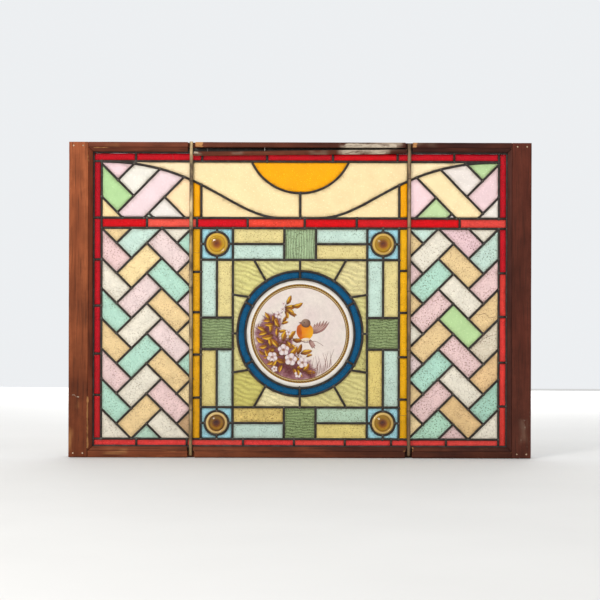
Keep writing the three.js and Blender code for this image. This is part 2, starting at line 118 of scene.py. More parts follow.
TOP_JOINTS = [-363, -216.7, -73.3, 71.9, 214.7, 339.9]
BAND_JOINTS = [-338.4, -227.9, -115.9, 10.1, 124.7, 240, 352.2]
BOTTOM_JOINTS = [-360.8, -249.3, -125, -12.5, 99.9, 202, 323.2]
LEFT_JOINTS = [136.3, 227.4, 333.4, 435, BAND_TOP]
RIGHT_JOINTS = [113.2, 209.8, 311, 407.3]
AMBER_JOINTS = {"left": [130.8, 225.8, 319.6, 408.7], "right": [127.7, 221.2, 319.3, 411.9]}
SWEEP = [(-438.8, 652), (-216.5, 652), (-150.5, 528), (-40.5, 527.7)]
SWEEP_STEPS = 96
SLIVER_START = 11  # the step from which the pane above the sweep is wide enough to be glass
UPPER_LEADS = [
    ((-438.8, 574.9), (-392.5, 527.7)), ((-310.4, 635.3), (-403.3, 540)),
    ((-258.3, 616.6), (-345.2, 527.7)), ((-438.8, 647.5), (-370.9, 579.2)),
    ((-369.6, 644.9), (-402.8, 611.1)), ((-299.2, 573.2), (-253.9, 527.7)),
    ((-335.1, 538.5), (-324.3, 527.7)),
]
BRICK_ROWS = 7
UNIT = (BORDER_X - AMBER_OUT) / 6
UNIT_DOWN = (BAND_BOTTOM - BORDER_BOTTOM) / (2 * BRICK_ROWS)
SIDE_LEAD, DIAGONAL_LEAD = 35.5, 57.0  # degrees
SIDE_END_Z, DIAGONAL_END_X = 86.0, 102.0
SHORTEST_CAME = 7.6  # shorter sides of an outline are steps of a curve

# ---- Outlines: lists of (x, z), anticlockwise ----


def sides_of(outline):
    """Each side of an outline as the pair of its ends."""
    return zip(outline, outline[1:] + outline[:1])


def area(outline):
    return sum(x * next_z - next_x * z for (x, z), (next_x, next_z) in sides_of(outline)) / 2


def anticlockwise(outline):
    return outline[::-1] if area(outline) < 0 else outline


def mirrored(outline):
    return anticlockwise([(-x, z) for x, z in outline])


def rectangle(left, bottom, right, top):
    return [(left, bottom), (right, bottom), (right, top), (left, top)]


def arc(x, z, radius, start, end, steps):
    angles = [math.radians(start + (end - start) * i / steps) for i in range(steps + 1)]
    return [(x + radius * math.cos(angle), z + radius * math.sin(angle)) for angle in angles]


def circle(x, z, radius, steps):
    return arc(x, z, radius, 0, 360, steps)[:-1]


def turned(x, z, u, v, turn):
    """The place u along and v across from (x, z), after a turn in radians."""
    return x + u * math.cos(turn) - v * math.sin(turn), z + u * math.sin(turn) + v * math.cos(turn)


def between_points(a, b, steps, first=0, last=0):
    """Points along a line, from step first to step last past its end."""
    return [tuple(p + (q - p) * i / steps for p, q in zip(a, b)) for i in range(first, steps + 1 + last)]


def headings(path, closed=False):
    """Each point of a path with the direction of the path there."""
    count = len(path)
    for i, (x, z) in enumerate(path):
        before = path[i - 1] if i or closed else path[i]
        after = path[(i + 1) % count] if i + 1 < count or closed else path[i]
        length = math.dist(before, after)
        yield (x, z), ((after[0] - before[0]) / length, (after[1] - before[1]) / length)


def inset(outline, distance):
    """The outline moved inwards on every side."""
    sides = []
    for (x, z), (next_x, next_z) in sides_of(outline):
        length = math.hypot(next_x - x, next_z - z)
        along = ((next_x - x) / length, (next_z - z) / length)
        sides.append(((x - along[1] * distance, z + along[0] * distance), along))
    moved = []
    for i, (point, along) in enumerate(sides):
        before, before_along = sides[i - 1]
        turn = before_along[0] * along[1] - before_along[1] * along[0]
        if abs(turn) < 1e-6:
            moved.append(point)
            continue
        reach = ((point[0] - before[0]) * along[1] - (point[1] - before[1]) * along[0]) / turn
        moved.append((before[0] + before_along[0] * reach, before[1] + before_along[1] * reach))
    return moved


def left_of(outline, a, b):
    """The part of an outline on the left of the line from a to b, and where the line crosses it."""
    length = math.dist(a, b)

    def off_line(point):
        distance = ((b[0] - a[0]) * (point[1] - a[1]) - (b[1] - a[1]) * (point[0] - a[0])) / length
        return 0 if abs(distance) < 1e-6 else distance
    kept, crossings = [], []
    for point, following in sides_of(outline):
        here, there = off_line(point), off_line(following)
        if here >= 0:
            kept.append(point)
        if here * there < 0:
            share = here / (here - there)
            crossing = tuple(p + (q - p) * share for p, q in zip(point, following))
            kept.append(crossing)
            crossings.append(crossing)
    return kept, crossings


def split_panes(panes, a, b):
    """Splits the pane that a came from a to b runs across."""
    result = []
    length = math.dist(a, b)
    for outline in panes:
        kept, crossings = left_of(outline, a, b)
        if len(crossings) == 2:
            middle = [(p + q) / 2 for p, q in zip(*crossings)]
            along = ((middle[0] - a[0]) * (b[0] - a[0]) + (middle[1] - a[1]) * (b[1] - a[1])) / length
            if 0 <= along <= length:
                result += [kept, left_of(outline, b, a)[0]]
                continue
        result.append(outline)
    return result


def clipped(outline, corners):
    """What is left of a convex outline inside a rectangle, or None."""
    rest = outline
    for a, b in sides_of(corners):
        rest = left_of(rest, a, b)[0]
    return rest if len(rest) > 2 and area(rest) > 1 else None


def row(joints, start, end, bottom, top):
    ends = [start, *joints, end]
    return [rectangle(a, bottom, b, top) for a, b in zip(ends, ends[1:])]


def column(joints, start, end, left, right):
    ends = [start, *joints, end]
    return [rectangle(left, a, right, b) for a, b in zip(ends, ends[1:])]


def sweep_point(t):
    weights = ((1 - t) ** 3, 3 * t * (1 - t) ** 2, 3 * t**2 * (1 - t), t**3)
    return tuple(sum(w * p[axis] for w, p in zip(weights, SWEEP)) for axis in (0, 1))


sweep = [sweep_point(i / SWEEP_STEPS) for i in range(SWEEP_STEPS + 1)]
chord_angle = math.degrees(math.asin((BORDER_TOP - SUN_Z) / SUN_RADIUS))
sun_edge = arc(0, SUN_Z, SUN_RADIUS, -180 - chord_angle, chord_angle, 40)


def upper_panes():
    """The left half of the upper band: cream, amber and cream panes, then the bricks that the leads cut."""
    def outside(outline, x):
        return left_of(outline, (x, BAND_TOP - 1), (x, BORDER_TOP + 1))[0]

    def inside(outline, x):
        return left_of(outline, (x, BORDER_TOP + 1), (x, BAND_TOP - 1))[0]
    below = anticlockwise([(-BORDER_X, BAND_TOP), (-BORDER_X, BORDER_TOP), *sweep[1:]])
    bricks = [outside(below, -AMBER_OUT)]
    for a, b in UPPER_LEADS:
        bricks = split_panes(bricks, a, b)
    left_edge = sun_edge[: len(sun_edge) // 2 + 1][::-1]
    corner = (sweep[SLIVER_START][0], BORDER_TOP)
    above = anticlockwise([*sweep[SLIVER_START:], (0, BAND_TOP), *left_edge, corner])
    return [inside(below, -AMBER_IN), inside(outside(below, -AMBER_IN), -AMBER_OUT),
            inside(above, -AMBER_OUT), outside(above, -AMBER_OUT), *bricks]


def herringbone_panes():
    """The left side field, as (series, row, outline): four interlocking ranks cut by its edges."""
    field = rectangle(-BORDER_X, BORDER_BOTTOM, -AMBER_OUT, BAND_BOTTOM)
    falling = ((0, 0), (2, 2), (1, 3), (-1, 1))
    rising = ((0, 0), (2, -2), (3, -1), (1, 1))
    panes = []
    for k in range(-1, BRICK_ROWS + 1):
        for series, shape, across, down in (("a", falling, 0, 0), ("b", rising, 1, 3),
                                            ("c", falling, 4, 0), ("d", rising, 5, 1)):
            brick = [(-BORDER_X + (across + u) * UNIT, BAND_BOTTOM - (2 * k + down + v) * UNIT_DOWN)
                     for u, v in shape]
            outline = clipped(anticlockwise(brick), field)
            if outline:
                panes.append((series, k + 1, outline))
    return panes


def ground_panes():
    """The panes between the blue ring and the inner rectangle, in the order of the CAD nodes."""
    side_end = (INNER_X, MIDDLE_Z + SIDE_END_Z)
    diagonal_end = (DIAGONAL_END_X, INNER_TOP)

    def edge(start, end, steps):
        return arc(0, MIDDLE_Z, RING_RADIUS, end, start, steps)
    right = [
        [(INNER_X, MIDDLE_Z), side_end, *edge(0, SIDE_LEAD, 14)],
        [side_end, (INNER_X, INNER_TOP), diagonal_end, *edge(SIDE_LEAD, DIAGONAL_LEAD, 9)],
        [diagonal_end, (0, INNER_TOP), *edge(DIAGONAL_LEAD, 90, 13)],
    ]
    upper = right + [mirrored(pane) for pane in right][::-1]
    lower = [anticlockwise([(x, 2 * MIDDLE_Z - z) for x, z in pane]) for pane in upper]
    return upper + lower[::-1]


def ring_panes():
    return [arc(0, MIDDLE_Z, RING_RADIUS, start, start + 60, 24)
            + arc(0, MIDDLE_Z, ROUNDEL_RADIUS, start + 60, start, 24) for start in range(30, 390, 60)]


def strip_panes():
    levels = [(STRIP_TOP, BAND_BOTTOM), (INNER_TOP, STRIP_TOP),
              (STRIP_BOTTOM, INNER_BOTTOM), (BORDER_BOTTOM, STRIP_BOTTOM)]
    places = [(-AMBER_IN, -STRIP_X), (-STRIP_X, -INNER_X), (INNER_X, STRIP_X), (STRIP_X, AMBER_IN)]
    across = [(-INNER_X, -GREEN_HALF), (GREEN_HALF, INNER_X)]
    upright = [(MIDDLE_Z + GREEN_HALF, INNER_TOP), (INNER_BOTTOM, MIDDLE_Z - GREEN_HALF)]
    return ([rectangle(left, low, right, high) for left, right in across for low, high in levels]
            + [rectangle(left, low, right, high) for low, high in upright for left, right in places])


def green_panes():
    low, high = MIDDLE_Z - GREEN_HALF, MIDDLE_Z + GREEN_HALF
    return {
        "top": rectangle(-GREEN_HALF, INNER_TOP, GREEN_HALF, BAND_BOTTOM),
        "bottom": rectangle(-GREEN_HALF, BORDER_BOTTOM, GREEN_HALF, INNER_BOTTOM),
        "left": rectangle(-AMBER_IN, low, -INNER_X, high),
        "right": rectangle(INNER_X, low, AMBER_IN, high),
    }


def spandrel_panes(x, z):
    half = (AMBER_IN - INNER_X) / 2
    panes = []
    for start in (0, 90, 180, 270):
        corners = [turned(x, z, u, v, math.radians(start)) for u, v in ((half, 0), (half, half), (0, half))]
        panes.append(anticlockwise([*corners, *arc(x, z, JEWEL_RADIUS, start + 90, start, 9)]))
    return panes


# ---- Colours: red, green and blue from 0 to 255, as they look in even light ----

WHITE, CREAM, GOLD_CREAM = (241, 234, 217), (249, 225, 174), (250, 225, 170)
PINK, PEACH, AQUA = (241, 219, 216), (243, 214, 160), (188, 227, 208)
PALE_AQUA, ROSE, TAN, RUBY = (205, 229, 216), (238, 207, 204), (238, 208, 155), (212, 0, 22)
AMBER, DEEP_AMBER, SUN = (240, 176, 16), (248, 186, 14), (252, 175, 0)
YELLOW, POND, SPANDREL, BLUE = (232, 216, 150), (202, 226, 213), (168, 220, 232), (0, 88, 132)

# The four ranks of each side field, from the top down
BRICKS = {
    "left": {
        "a": [PEACH, (240, 208, 205), WHITE, AQUA, PEACH, (242, 213, 210), AQUA, WHITE],
        "b": [PALE_AQUA, GOLD_CREAM, PINK, WHITE, AQUA, WHITE, PEACH, (190, 222, 202)],
        "c": [WHITE, PINK, AQUA, PEACH, PINK, PEACH, (242, 212, 209), WHITE],
        "d": [AQUA, AQUA, PEACH, PINK, CREAM, AQUA, CREAM, (208, 172, 130)],
    },
    "right": {
        "a": [WHITE, PALE_AQUA, ROSE, TAN, (230, 218, 195), (238, 202, 150), (176, 217, 197), WHITE],
        "b": [(236, 203, 206), PEACH, WHITE, (188, 218, 158), ROSE, WHITE, (235, 201, 146), ROSE],
        "c": [(214, 238, 226), WHITE, AQUA, ROSE, TAN, (187, 229, 210), ROSE, (188, 228, 204)],
        "d": [PEACH, PEACH, ROSE, PEACH, WHITE, PINK, PEACH, CREAM],
    },
}
# Cream triangle, amber strip, cream, sliver, then the bricks from the bar outwards
UPPER = {
    "left": [CREAM, SUN, CREAM, (252, 231, 190), (250, 222, 180), (241, 234, 226), (214, 232, 210),
             (241, 218, 220), (240, 235, 224), (242, 212, 216), (184, 219, 158), GOLD_CREAM],
    "right": [CREAM, SUN, CREAM, (254, 233, 190), (242, 214, 216), (196, 220, 166), (250, 240, 245),
              (252, 230, 182), (242, 232, 224), (190, 217, 160), (240, 212, 214), (241, 234, 224)],
}
REDS = {
    "top": [(202, 0, 26), (206, 2, 26), (184, 4, 22), (206, 4, 26), (220, 2, 18), (210, 4, 28), (204, 4, 32)],
    "band": [(216, 0, 16), (240, 90, 74), (214, 2, 26), (236, 72, 52), (220, 0, 12), (216, 20, 28),
             (222, 0, 14), (234, 76, 66)],
    "bottom": [(242, 66, 64), (246, 72, 68), (248, 80, 72), (246, 68, 66), (250, 82, 72), (246, 72, 68),
               (246, 74, 68), (244, 80, 72)],
    "left": [(206, 30, 36), (200, 16, 32), (196, 6, 30), (202, 10, 30), (208, 8, 32), (196, 4, 30)],
    "right": [(234, 66, 56), (238, 66, 58), (234, 62, 56), (234, 66, 56), (206, 14, 32), (200, 8, 30)],
}
STRIPS = [YELLOW, POND, (226, 200, 120), POND, POND, YELLOW, (187, 213, 188), (232, 214, 132),
          POND, YELLOW, POND, YELLOW, (230, 211, 136), POND, (230, 209, 128), POND]
GROUND = [(218, 210, 140), (226, 214, 156), (222, 212, 144), (222, 214, 146), (218, 210, 136),
          (226, 218, 152), (222, 212, 142), (208, 198, 110), (238, 227, 176), (222, 212, 146),
          (218, 208, 138), (214, 206, 132)]
GREENS = {"top": (162, 184, 142), "bottom": (138, 158, 106),
          "left": (138, 158, 110), "right": (138, 156, 106)}
HAMMERED_GROUND, HAMMERED_STRIPS = (6, 11), (2,)  # the panes of a rougher glass, counted from 0


def linear(colour):
    """A 0 to 255 display colour as linear light from 0 to 1."""
    values = [channel / 255 for channel in colour]
    return [v / 12.92 if v <= 0.04045 else ((v + 0.055) / 1.055) ** 2.4 for v in values]


def blend(a, b, share):
    share = min(max(share, 0), 1)
    return [p + (q - p) * share for p, q in zip(a, b)]


def smooth(value, low, high):
    """0 below low, 1 above high, and a soft step between."""
    t = min(max((value - low) / (high - low), 0), 1)
    return t * t * (3 - 2 * t)


def ripple(x, z, size, seed=0):
    """Smooth noise from -1 to 1, with features about size millimetres across."""
    return noise.noise(Vector((x / size, z / size, seed * 3.7)))


# ---- Meshes ----


class Surface:
    """Points with colours, and the faces between them, for one mesh."""

    def __init__(self):
        self.points, self.colours, self.faces = [], [], []

    def add(self, x, y, z, colour):
        self.points.append((x * MM, y * MM, z * MM))
        self.colours += [*colour, 1]
        return len(self.points) - 1

    def ring(self, x, y, z, radius, steps, colour):
        return [self.add(px, y, pz, colour) for px, pz in circle(x, z, radius, steps)]

    def join(self, rows, around=False, along=False):
        """Quads between rows of point numbers: closed around each row, or from the last row to the first."""
        pairs = list(zip(rows, rows[1:])) + ([(rows[-1], rows[0])] if along else [])
        for one, other in pairs:
            count = len(one)
            for i in range(count if around else count - 1):
                self.faces.append((one[i], one[(i + 1) % count], other[(i + 1) % count], other[i]))

    def loft(self, rows):
        """A closed solid through rows that each run once around."""
        self.join(rows, around=True)
        self.faces += [tuple(rows[0][::-1]), tuple(rows[-1])]

    def build(self, name, material, slot, nodes=()):
        mesh = bpy.data.meshes.new(name)
        mesh.from_pydata(self.points, [], self.faces)
        colour_points(mesh, "tint", self.colours)
        solid = bmesh.new()
        solid.from_mesh(mesh)
        bmesh.ops.recalc_face_normals(solid, faces=solid.faces)
        solid.to_mesh(mesh)
        solid.free()
        place(name, mesh, material, slot, nodes)


def colour_points(mesh, name, values):
    """Gives a mesh's points their colours, from one flat list of red, green, blue and alpha."""
    mesh.color_attributes.new(name, "FLOAT_COLOR", "POINT").data.foreach_set("color", values)


def place(name, mesh, material, slot, nodes=()):
    """Puts a mesh in the scene as a piece that rides on the window's one body."""
    mesh.materials.clear()
    mesh.materials.append(material)
    mesh.polygons.foreach_set("use_smooth", [True] * len(mesh.polygons))
    piece = bpy.data.objects.new(name, mesh)
    bpy.context.scene.collection.objects.link(piece)
    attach(piece, "root")
    if nodes:
        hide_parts(*nodes)


def spaced(low, high, step):
    """Places that cut a length into equal parts of at least one step."""
    parts = max(int((high - low) / step), 1)
    return [low + (high - low) * i / parts for i in range(1, parts)]


def cut(body, point, normal, snap):
    geometry = body.verts[:] + body.edges[:] + body.faces[:]
    bmesh.ops.bisect_plane(body, geom=geometry, dist=snap, plane_co=point, plane_no=normal)


# ---- Materials ----


class Finish:
    """A node material: the tint attribute of the mesh, with procedural detail on top."""

    def __init__(self, name):
        self.material = bpy.data.materials.new(name)
        self.material.use_nodes = True
        self.tree = self.material.node_tree
        self.shader = self.tree.nodes["Principled BSDF"]
        self.place = self.node("ShaderNodeTexCoord", "Object")
        self.tint = self.node("ShaderNodeAttribute", "Color", attribute_name="tint")

    def feed(self, socket, value):
        if isinstance(value, bpy.types.NodeSocket):
            self.tree.links.new(value, socket)
        else:
            socket.default_value = value

    def node(self, kind, output, inputs=None, **settings):
        """A new node's output, once its inputs are fed with numbers, colours or other outputs."""
        made = self.tree.nodes.new(kind)
        for key, value in settings.items():
            setattr(made, key, value)
        for key, value in (inputs or {}).items():
            self.feed(made.inputs[key], value)
        return made.outputs[output]

    def noise(self, scale, detail=3, roughness=0.5, stretch=None, distortion=0):
        place = self.place
        if stretch:
            place = self.node("ShaderNodeMapping", "Vector", {"Vector": place, "Scale": stretch})
        return self.node("ShaderNodeTexNoise", "Fac", {"Vector": place, "Scale": scale, "Detail": detail,
                                                       "Roughness": roughness, "Distortion": distortion})

    def specks(self, scale, radius, stretch=(1, 1), feature="F1"):
        """1 in small spots on the window's plane, or along the joints of cells, and 0 elsewhere."""
        inputs = {"Vector": self.place, "Rotation": (math.radians(90), 0, 0),
                  "Scale": (1 / stretch[0], 1 / stretch[1], 1)}
        flat = self.node("ShaderNodeMapping", "Vector", inputs, vector_type="TEXTURE")
        distance = self.node("ShaderNodeTexVoronoi", "Distance", {"Vector": flat, "Scale": scale},
                             voronoi_dimensions="2D", feature=feature)
        return self.between(distance, radius, radius * 0.4)

    def between(self, value, low, high, to_low=0.0, to_high=1.0):
        return self.node("ShaderNodeMapRange", "Result", {"Value": value, "From Min": low, "From Max": high,
                                                          "To Min": to_low, "To Max": to_high})

    def maths(self, operation, a, b):
        return self.node("ShaderNodeMath", 0, {0: a, 1: b}, operation=operation)

    def mix(self, share, a, b, mode="MIX"):
        return self.node("ShaderNodeMix", 2, {0: share, 6: a, 7: b}, data_type="RGBA", blend_type=mode)

    def filtered(self, colour, by):
        return self.mix(1.0, colour, by, "MULTIPLY")

    def set(self, **values):
        for key, value in values.items():
            self.feed(self.shader.inputs[key.replace("_", " ")], value)

    def finished(self, colour, grain, rough, height, relief, **values):
        """The material, with its colour, a roughness that follows the grain, and its relief in metres."""
        bump = self.node("ShaderNodeBump", "Normal", {"Height": height, "Distance": relief, "Strength": 1.0})
        self.set(Base_Color=colour, Roughness=self.between(grain, 0.3, 0.7, *rough), Normal=bump, **values)
        return self.material


def grey(value):
    return (value, value, value, 1)


def glass_finish(name, cloud, seeds, relief, stretch=None, clear=0.35, rough=(0.12, 0.3), shine=0.09):
    """Cathedral glass: clouds and dark seeds in the colour, and a rolled surface."""
    finish = Finish(name)
    clouds = finish.noise(55, 4, 0.6, stretch)
    grain = finish.noise(420, 3, 0.65)
    mottled = finish.mix(finish.between(clouds, 0.3, 0.7), grey(1 - cloud), grey(1 + cloud * 0.4))
    tinted = finish.filtered(finish.tint, mottled)
    deep = finish.filtered(tinted, (0.62, 0.56, 0.48, 1))
    colour = finish.mix(finish.between(grain, 0.5, 0.72, 0, min(cloud * 4, 0.9)), tinted, deep)
    if seeds:
        where = finish.between(finish.noise(30, 2), 0.38, 0.54)
        round_seeds = finish.maths("MULTIPLY", finish.specks(150, 0.17 + 0.07 * seeds), where)
        long_seeds = finish.maths("MULTIPLY", finish.specks(120, 0.13, (2.2, 0.8)), seeds)
        marks = finish.maths("MULTIPLY", finish.maths("MAXIMUM", round_seeds, long_seeds), seeds)
        creases = finish.maths("MULTIPLY", finish.specks(110, 0.05, (1, 1), "DISTANCE_TO_EDGE"),
                               finish.between(finish.noise(85, 3), 0.5, 0.62))
        share = finish.maths("MAXIMUM", marks, finish.maths("MULTIPLY", creases, 0.62))
        colour = finish.mix(share, colour, finish.filtered(colour, (0.30, 0.24, 0.2, 1)))
    rolled = finish.noise(130, 2, 0.5, stretch)
    height = finish.maths("ADD", rolled, finish.maths("MULTIPLY", grain, 0.35))
    return finish.finished(colour, grain, rough, height, relief,
                           Transmission_Weight=clear, IOR=1.5, Specular_IOR_Level=shine)


def lead_finish():
    """Old lead: dark patina, scratched and dusty, with brighter solder where the tint says."""
    finish = Finish("lead_came")
    blotches = finish.noise(90, 4, 0.65)
    dust = finish.noise(600, 2, 0.6)
    worn = finish.mix(finish.between(blotches, 0.45, 0.75), finish.tint, (0.058, 0.053, 0.047, 1))
    colour = finish.mix(finish.between(dust, 0.55, 0.8, 0, 0.25), worn, (0.13, 0.115, 0.095, 1))
    return finish.finished(colour, dust, (0.42, 0.68), finish.maths("ADD", blotches, dust), 0.0004,
                           Metallic=0.2, Specular_IOR_Level=0.35)


def wood_finish(name, axis):
    """Old varnished mahogany with its grain along x or z, flaked and rubbed where the wear attribute says."""
    finish = Finish(name)

    def grain(slow, fast, detail, roughness, distortion=0):
        stretch = (slow, fast, fast) if axis == "x" else (fast, fast, slow)
        return finish.noise(1.0, detail, roughness, stretch, distortion)
    figure = grain(2.4, 44, 5, 0.62, 0.7)
    pores = grain(11, 300, 3, 0.6)
    dark = finish.filtered(finish.tint, (0.64, 0.58, 0.56, 1))
    bright = finish.filtered(finish.tint, (1.24, 1.2, 1.15, 1))
    colour = finish.mix(finish.between(figure, 0.34, 0.6), dark, finish.tint)
    for pattern, low, high, most, tone in (
            (figure, 0.58, 0.76, 0.75, bright), (grain(7, 26, 4, 0.6), 0.52, 0.72, 0.6, dark),
            (finish.noise(80, 4, 0.6), 0.46, 0.68, 0.5, dark),
            (pores, 0.53, 0.66, 0.5, (0.028, 0.012, 0.008, 1))):
        colour = finish.mix(finish.between(pattern, low, high, 0, most), colour, tone)
    wear = finish.node("ShaderNodeAttribute", "Color", attribute_name="wear")
    amount = finish.node("ShaderNodeAttribute", "Alpha", attribute_name="wear")
    bare = finish.between(finish.maths("ADD", grain(55, 330, 4, 0.7), amount), 0.93, 1.1, 0, 0.9)
    height = finish.maths("SUBTRACT", finish.maths("ADD", pores, figure), bare)
    return finish.finished(finish.mix(bare, colour, wear), pores, (0.4, 0.66), height, 0.0006,
                           Specular_IOR_Level=0.12)


def metal_finish(name, light, dark, metallic, relief):
    """Patinated metal: tint with rust-dark and dusty patches."""
    finish = Finish(name)
    patches = finish.noise(60, 5, 0.65, (1, 1, 0.35))
    pits = finish.noise(520, 3, 0.6)
    patina = finish.mix(finish.between(patches, 0.4, 0.62), finish.tint, dark)
    colour = finish.mix(finish.between(pits, 0.55, 0.8, 0, 0.6), patina, light)
    height = finish.maths("ADD", patches, pits)
    return finish.finished(colour, pits, (0.45, 0.75), height, relief, Metallic=metallic)


def paint_finish(name, gloss):
    """Fired enamel on opal glass: thin, slightly grainy, and a little uneven."""
    finish = Finish(name)
    grain = finish.noise(900, 3, 0.6)
    wash = finish.noise(140, 4, 0.6)
    washed = finish.mix(finish.between(wash, 0.35, 0.7, 0, 0.05), finish.tint, (0.80, 0.66, 0.55, 1))
    colour = finish.mix(finish.between(grain, 0.52, 0.7, 0, 0.16), washed, (0.25, 0.13, 0.10, 1))
    return finish.finished(colour, grain, (gloss, gloss + 0.2), grain, 0.0002,
                           Transmission_Weight=0.08, IOR=1.5, Specular_IOR_Level=0.08)


GLASS = {
    "smooth": glass_finish("smooth_glass", 0.04, 0, 0.0005, shine=0.04),
    "deep": glass_finish("deep_coloured_glass", 0.10, 0.25, 0.0005, shine=0.015),
    "seedy": glass_finish("seedy_glass", 0.10, 0.68, 0.0012),
    "speckled": glass_finish("speckled_glass", 0.08, 0.95, 0.0010),
    "wavy": glass_finish("wavy_glass", 0.12, 0.45, 0.0020, (0.6, 1, 1.6)),
    "ribbed": glass_finish("ribbed_glass", 0.18, 0.9, 0.0016),
    "jewel": glass_finish("cast_jewel_glass", 0.06, 0, 0.0003, clear=0.3, rough=(0.04, 0.09), shine=0.42),
}
LEAD = lead_finish()
WOOD = {"x": wood_finish("mahogany_level", "x"), "z": wood_finish("mahogany_upright", "z")}
IRON = metal_finish("patinated_iron", (0.46, 0.35, 0.22, 1), (0.10, 0.065, 0.036, 1), 0.25, 0.0006)
NAIL_HEAD = metal_finish("worn_nail_head", (0.62, 0.50, 0.38, 1), (0.36, 0.24, 0.14, 1), 0.3, 0.0002)
COPPER = metal_finish("tarnished_copper", (0.30, 0.25, 0.20, 1), (0.05, 0.035, 0.025, 1), 0.5, 0.0004)
ENAMEL = paint_finish("fired_enamel", 0.3)
OPAL = paint_finish("opal_glass", 0.18)

# ---- Panes ----


def distance_to_edge(point, outline):
    best = 1e9
    for (x, z), (next_x, next_z) in sides_of(outline):
        dx, dz = next_x - x, next_z - z
        t = ((point[0] - x) * dx + (point[1] - z) * dz) / (dx * dx + dz * dz)
        t = min(max(t, 0), 1)
        best = min(best, math.hypot(point[0] - x - dx * t, point[1] - z - dz * t))
    return best


# Each kind of glass: its relief in millimetres, and how strongly the relief shows as painted light and shade
# in the tint
RELIEF = {
    "smooth": (lambda x, z, seed: 0.05 * ripple(x, z, 25, seed), 0),
    "deep": (lambda x, z, seed: 0.08 * ripple(x, z, 14, seed), 0),
    "seedy": (lambda x, z, seed: 0.12 * ripple(x, z, 9, seed), 0),
    "speckled": (lambda x, z, seed: 0.10 * ripple(x, z, 11, seed), 0),
    "wavy": (lambda x, z, seed: 0.35 * math.sin(z * 0.55 + x * 0.16 + 5 * ripple(x * 0.7, z, 24, seed)), 0.5),
    "ribbed_across": (lambda x, z, seed: 0.4 * math.sin(z * 1.0 + 4.2 * ripple(x, z * 0.7, 13, seed)), 0.8),
    "ribbed_up": (lambda x, z, seed: 0.4 * math.sin(x * 1.1 + 3.0 * ripple(x, z * 0.35, 13, seed)), 0.65),
    "hammered": (lambda x, z, seed: 0.5 * ripple(x, z, 5, seed), 0.7),
}
# Grime tone for glass next to the leads; the darkening there is grime and painted shade in one.
DIRT_AND_SHADE = linear((96, 78, 52))
PANE_GRID, GROUND_GRID, SQUARE_GRID = 6.0, 2.4, 1.6  # sizes of the facets that carry the relief
GRIME_AND_SHADE_BAND = 4.2  # a first row of facets along the leads, where grime and painted shade gather


def glass_mesh(name, outline, relief, seed, grid):
    """A pane in its grooves, cut into a fine grid and given its relief."""
    glass = inset(outline, PANE_MARGIN)
    mesh = bpy.data.meshes.new(name)
    sheet = bmesh.new()
    sheet.faces.new([sheet.verts.new((x * MM, GLASS_FRONT * MM, z * MM)) for x, z in glass])
    cuts = []
    for axis, normal in ((0, Vector((1, 0, 0))), (1, Vector((0, 0, 1)))):
        low, high = min(p[axis] for p in glass), max(p[axis] for p in glass)
        cuts += [(normal * spot * MM, normal) for spot in spaced(low, high, grid)]
    if len(glass) <= 8:
        for (x, z), (next_x, next_z) in sides_of(glass):
            inward = Vector((z - next_z, 0, next_x - x)).normalized()
            cuts.append((Vector((x, 0, z)) * MM + inward * GRIME_AND_SHADE_BAND * MM, inward))
    for point, normal in cuts:
        cut(sheet, point, normal, 1e-7)
    front = sheet.verts[:]
    made = bmesh.ops.extrude_face_region(sheet, geom=sheet.faces[:])["geom"]
    for vert in [item for item in made if isinstance(item, bmesh.types.BMVert)]:
        x, z = vert.co.x / MM, vert.co.z / MM
        vert.co.y = (GLASS_BACK + min(0, relief(x, z, seed + 0.5))) * MM
    for vert in front:
        x, z = vert.co.x / MM, vert.co.z / MM
        rise = max(0, relief(x, z, seed)) * smooth(distance_to_edge((x, z), glass), 0, 3)
        vert.co.y = (GLASS_FRONT + rise) * MM
    bmesh.ops.recalc_face_normals(sheet, faces=sheet.faces[:])
    sheet.to_mesh(mesh)
    sheet.free()
    return mesh


all_outlines = []


def lay(name, outline, colour, kind, slot, node="leaded_light", grid=PANE_GRID):
    """A pane of glass, coloured by point: streaks, painted light and shade of its relief, grime and painted
    shade at the leads, and lower panes painted lighter.
    """
    all_outlines.append(outline)
    seed = len(all_outlines)
    relief, painted_relief_shade = RELIEF[kind]
    mesh = glass_mesh(name, outline, relief, seed, grid)
    daylight = inset(outline, HALF_FACE)
    base = linear(colour)
    dirty_and_shaded = [2.2 * c * d for c, d in zip(base, DIRT_AND_SHADE)]
    middle_z = sum(z for x, z in outline) / len(outline)
    # Each pane's tone differs a little at random, and panes low in the window are painted lighter: painted
    # light.
    tone_and_painted_light = 1 + 0.03 * ripple(seed * 11.3, 5.1, 1) + 0.09 * (1 - smooth(middle_z, 30, 210))
    values = []
    for vertex in mesh.vertices:
        x, z = vertex.co.x / MM, vertex.co.z / MM
        streak_and_shade = 1 + 0.06 * ripple(x + z * 0.4, z - x * 0.3, 28, seed) + 0.03 * ripple(x, z, 9, seed + 2)
        # Painted light and shade: the tint lighter or darker with the slope of the relief.
        slope = relief(x + 0.7, z + 0.7, seed) - relief(x - 0.7, z - 0.7, seed)
        streak_and_shade *= 1 + painted_relief_shade * min(max(slope, -0.6), 0.35)
        inside = distance_to_edge((x, z), daylight)
        # Grime and painted shade: the tint darkens within about 6 mm of the leads.
        grime_and_shade = (0.42 + 0.4 * ripple(x, z, 12, seed + 4)) * (1 - smooth(inside, 0, 6))
        values += [*blend([channel * streak_and_shade * tone_and_painted_light for channel in base], dirty_and_shaded, grime_and_shade), 1]
    colour_points(mesh, "tint", values)
    material = GLASS["ribbed" if kind.startswith(("ribbed", "hammered")) else kind]
    place(name, mesh, material, slot, [node])


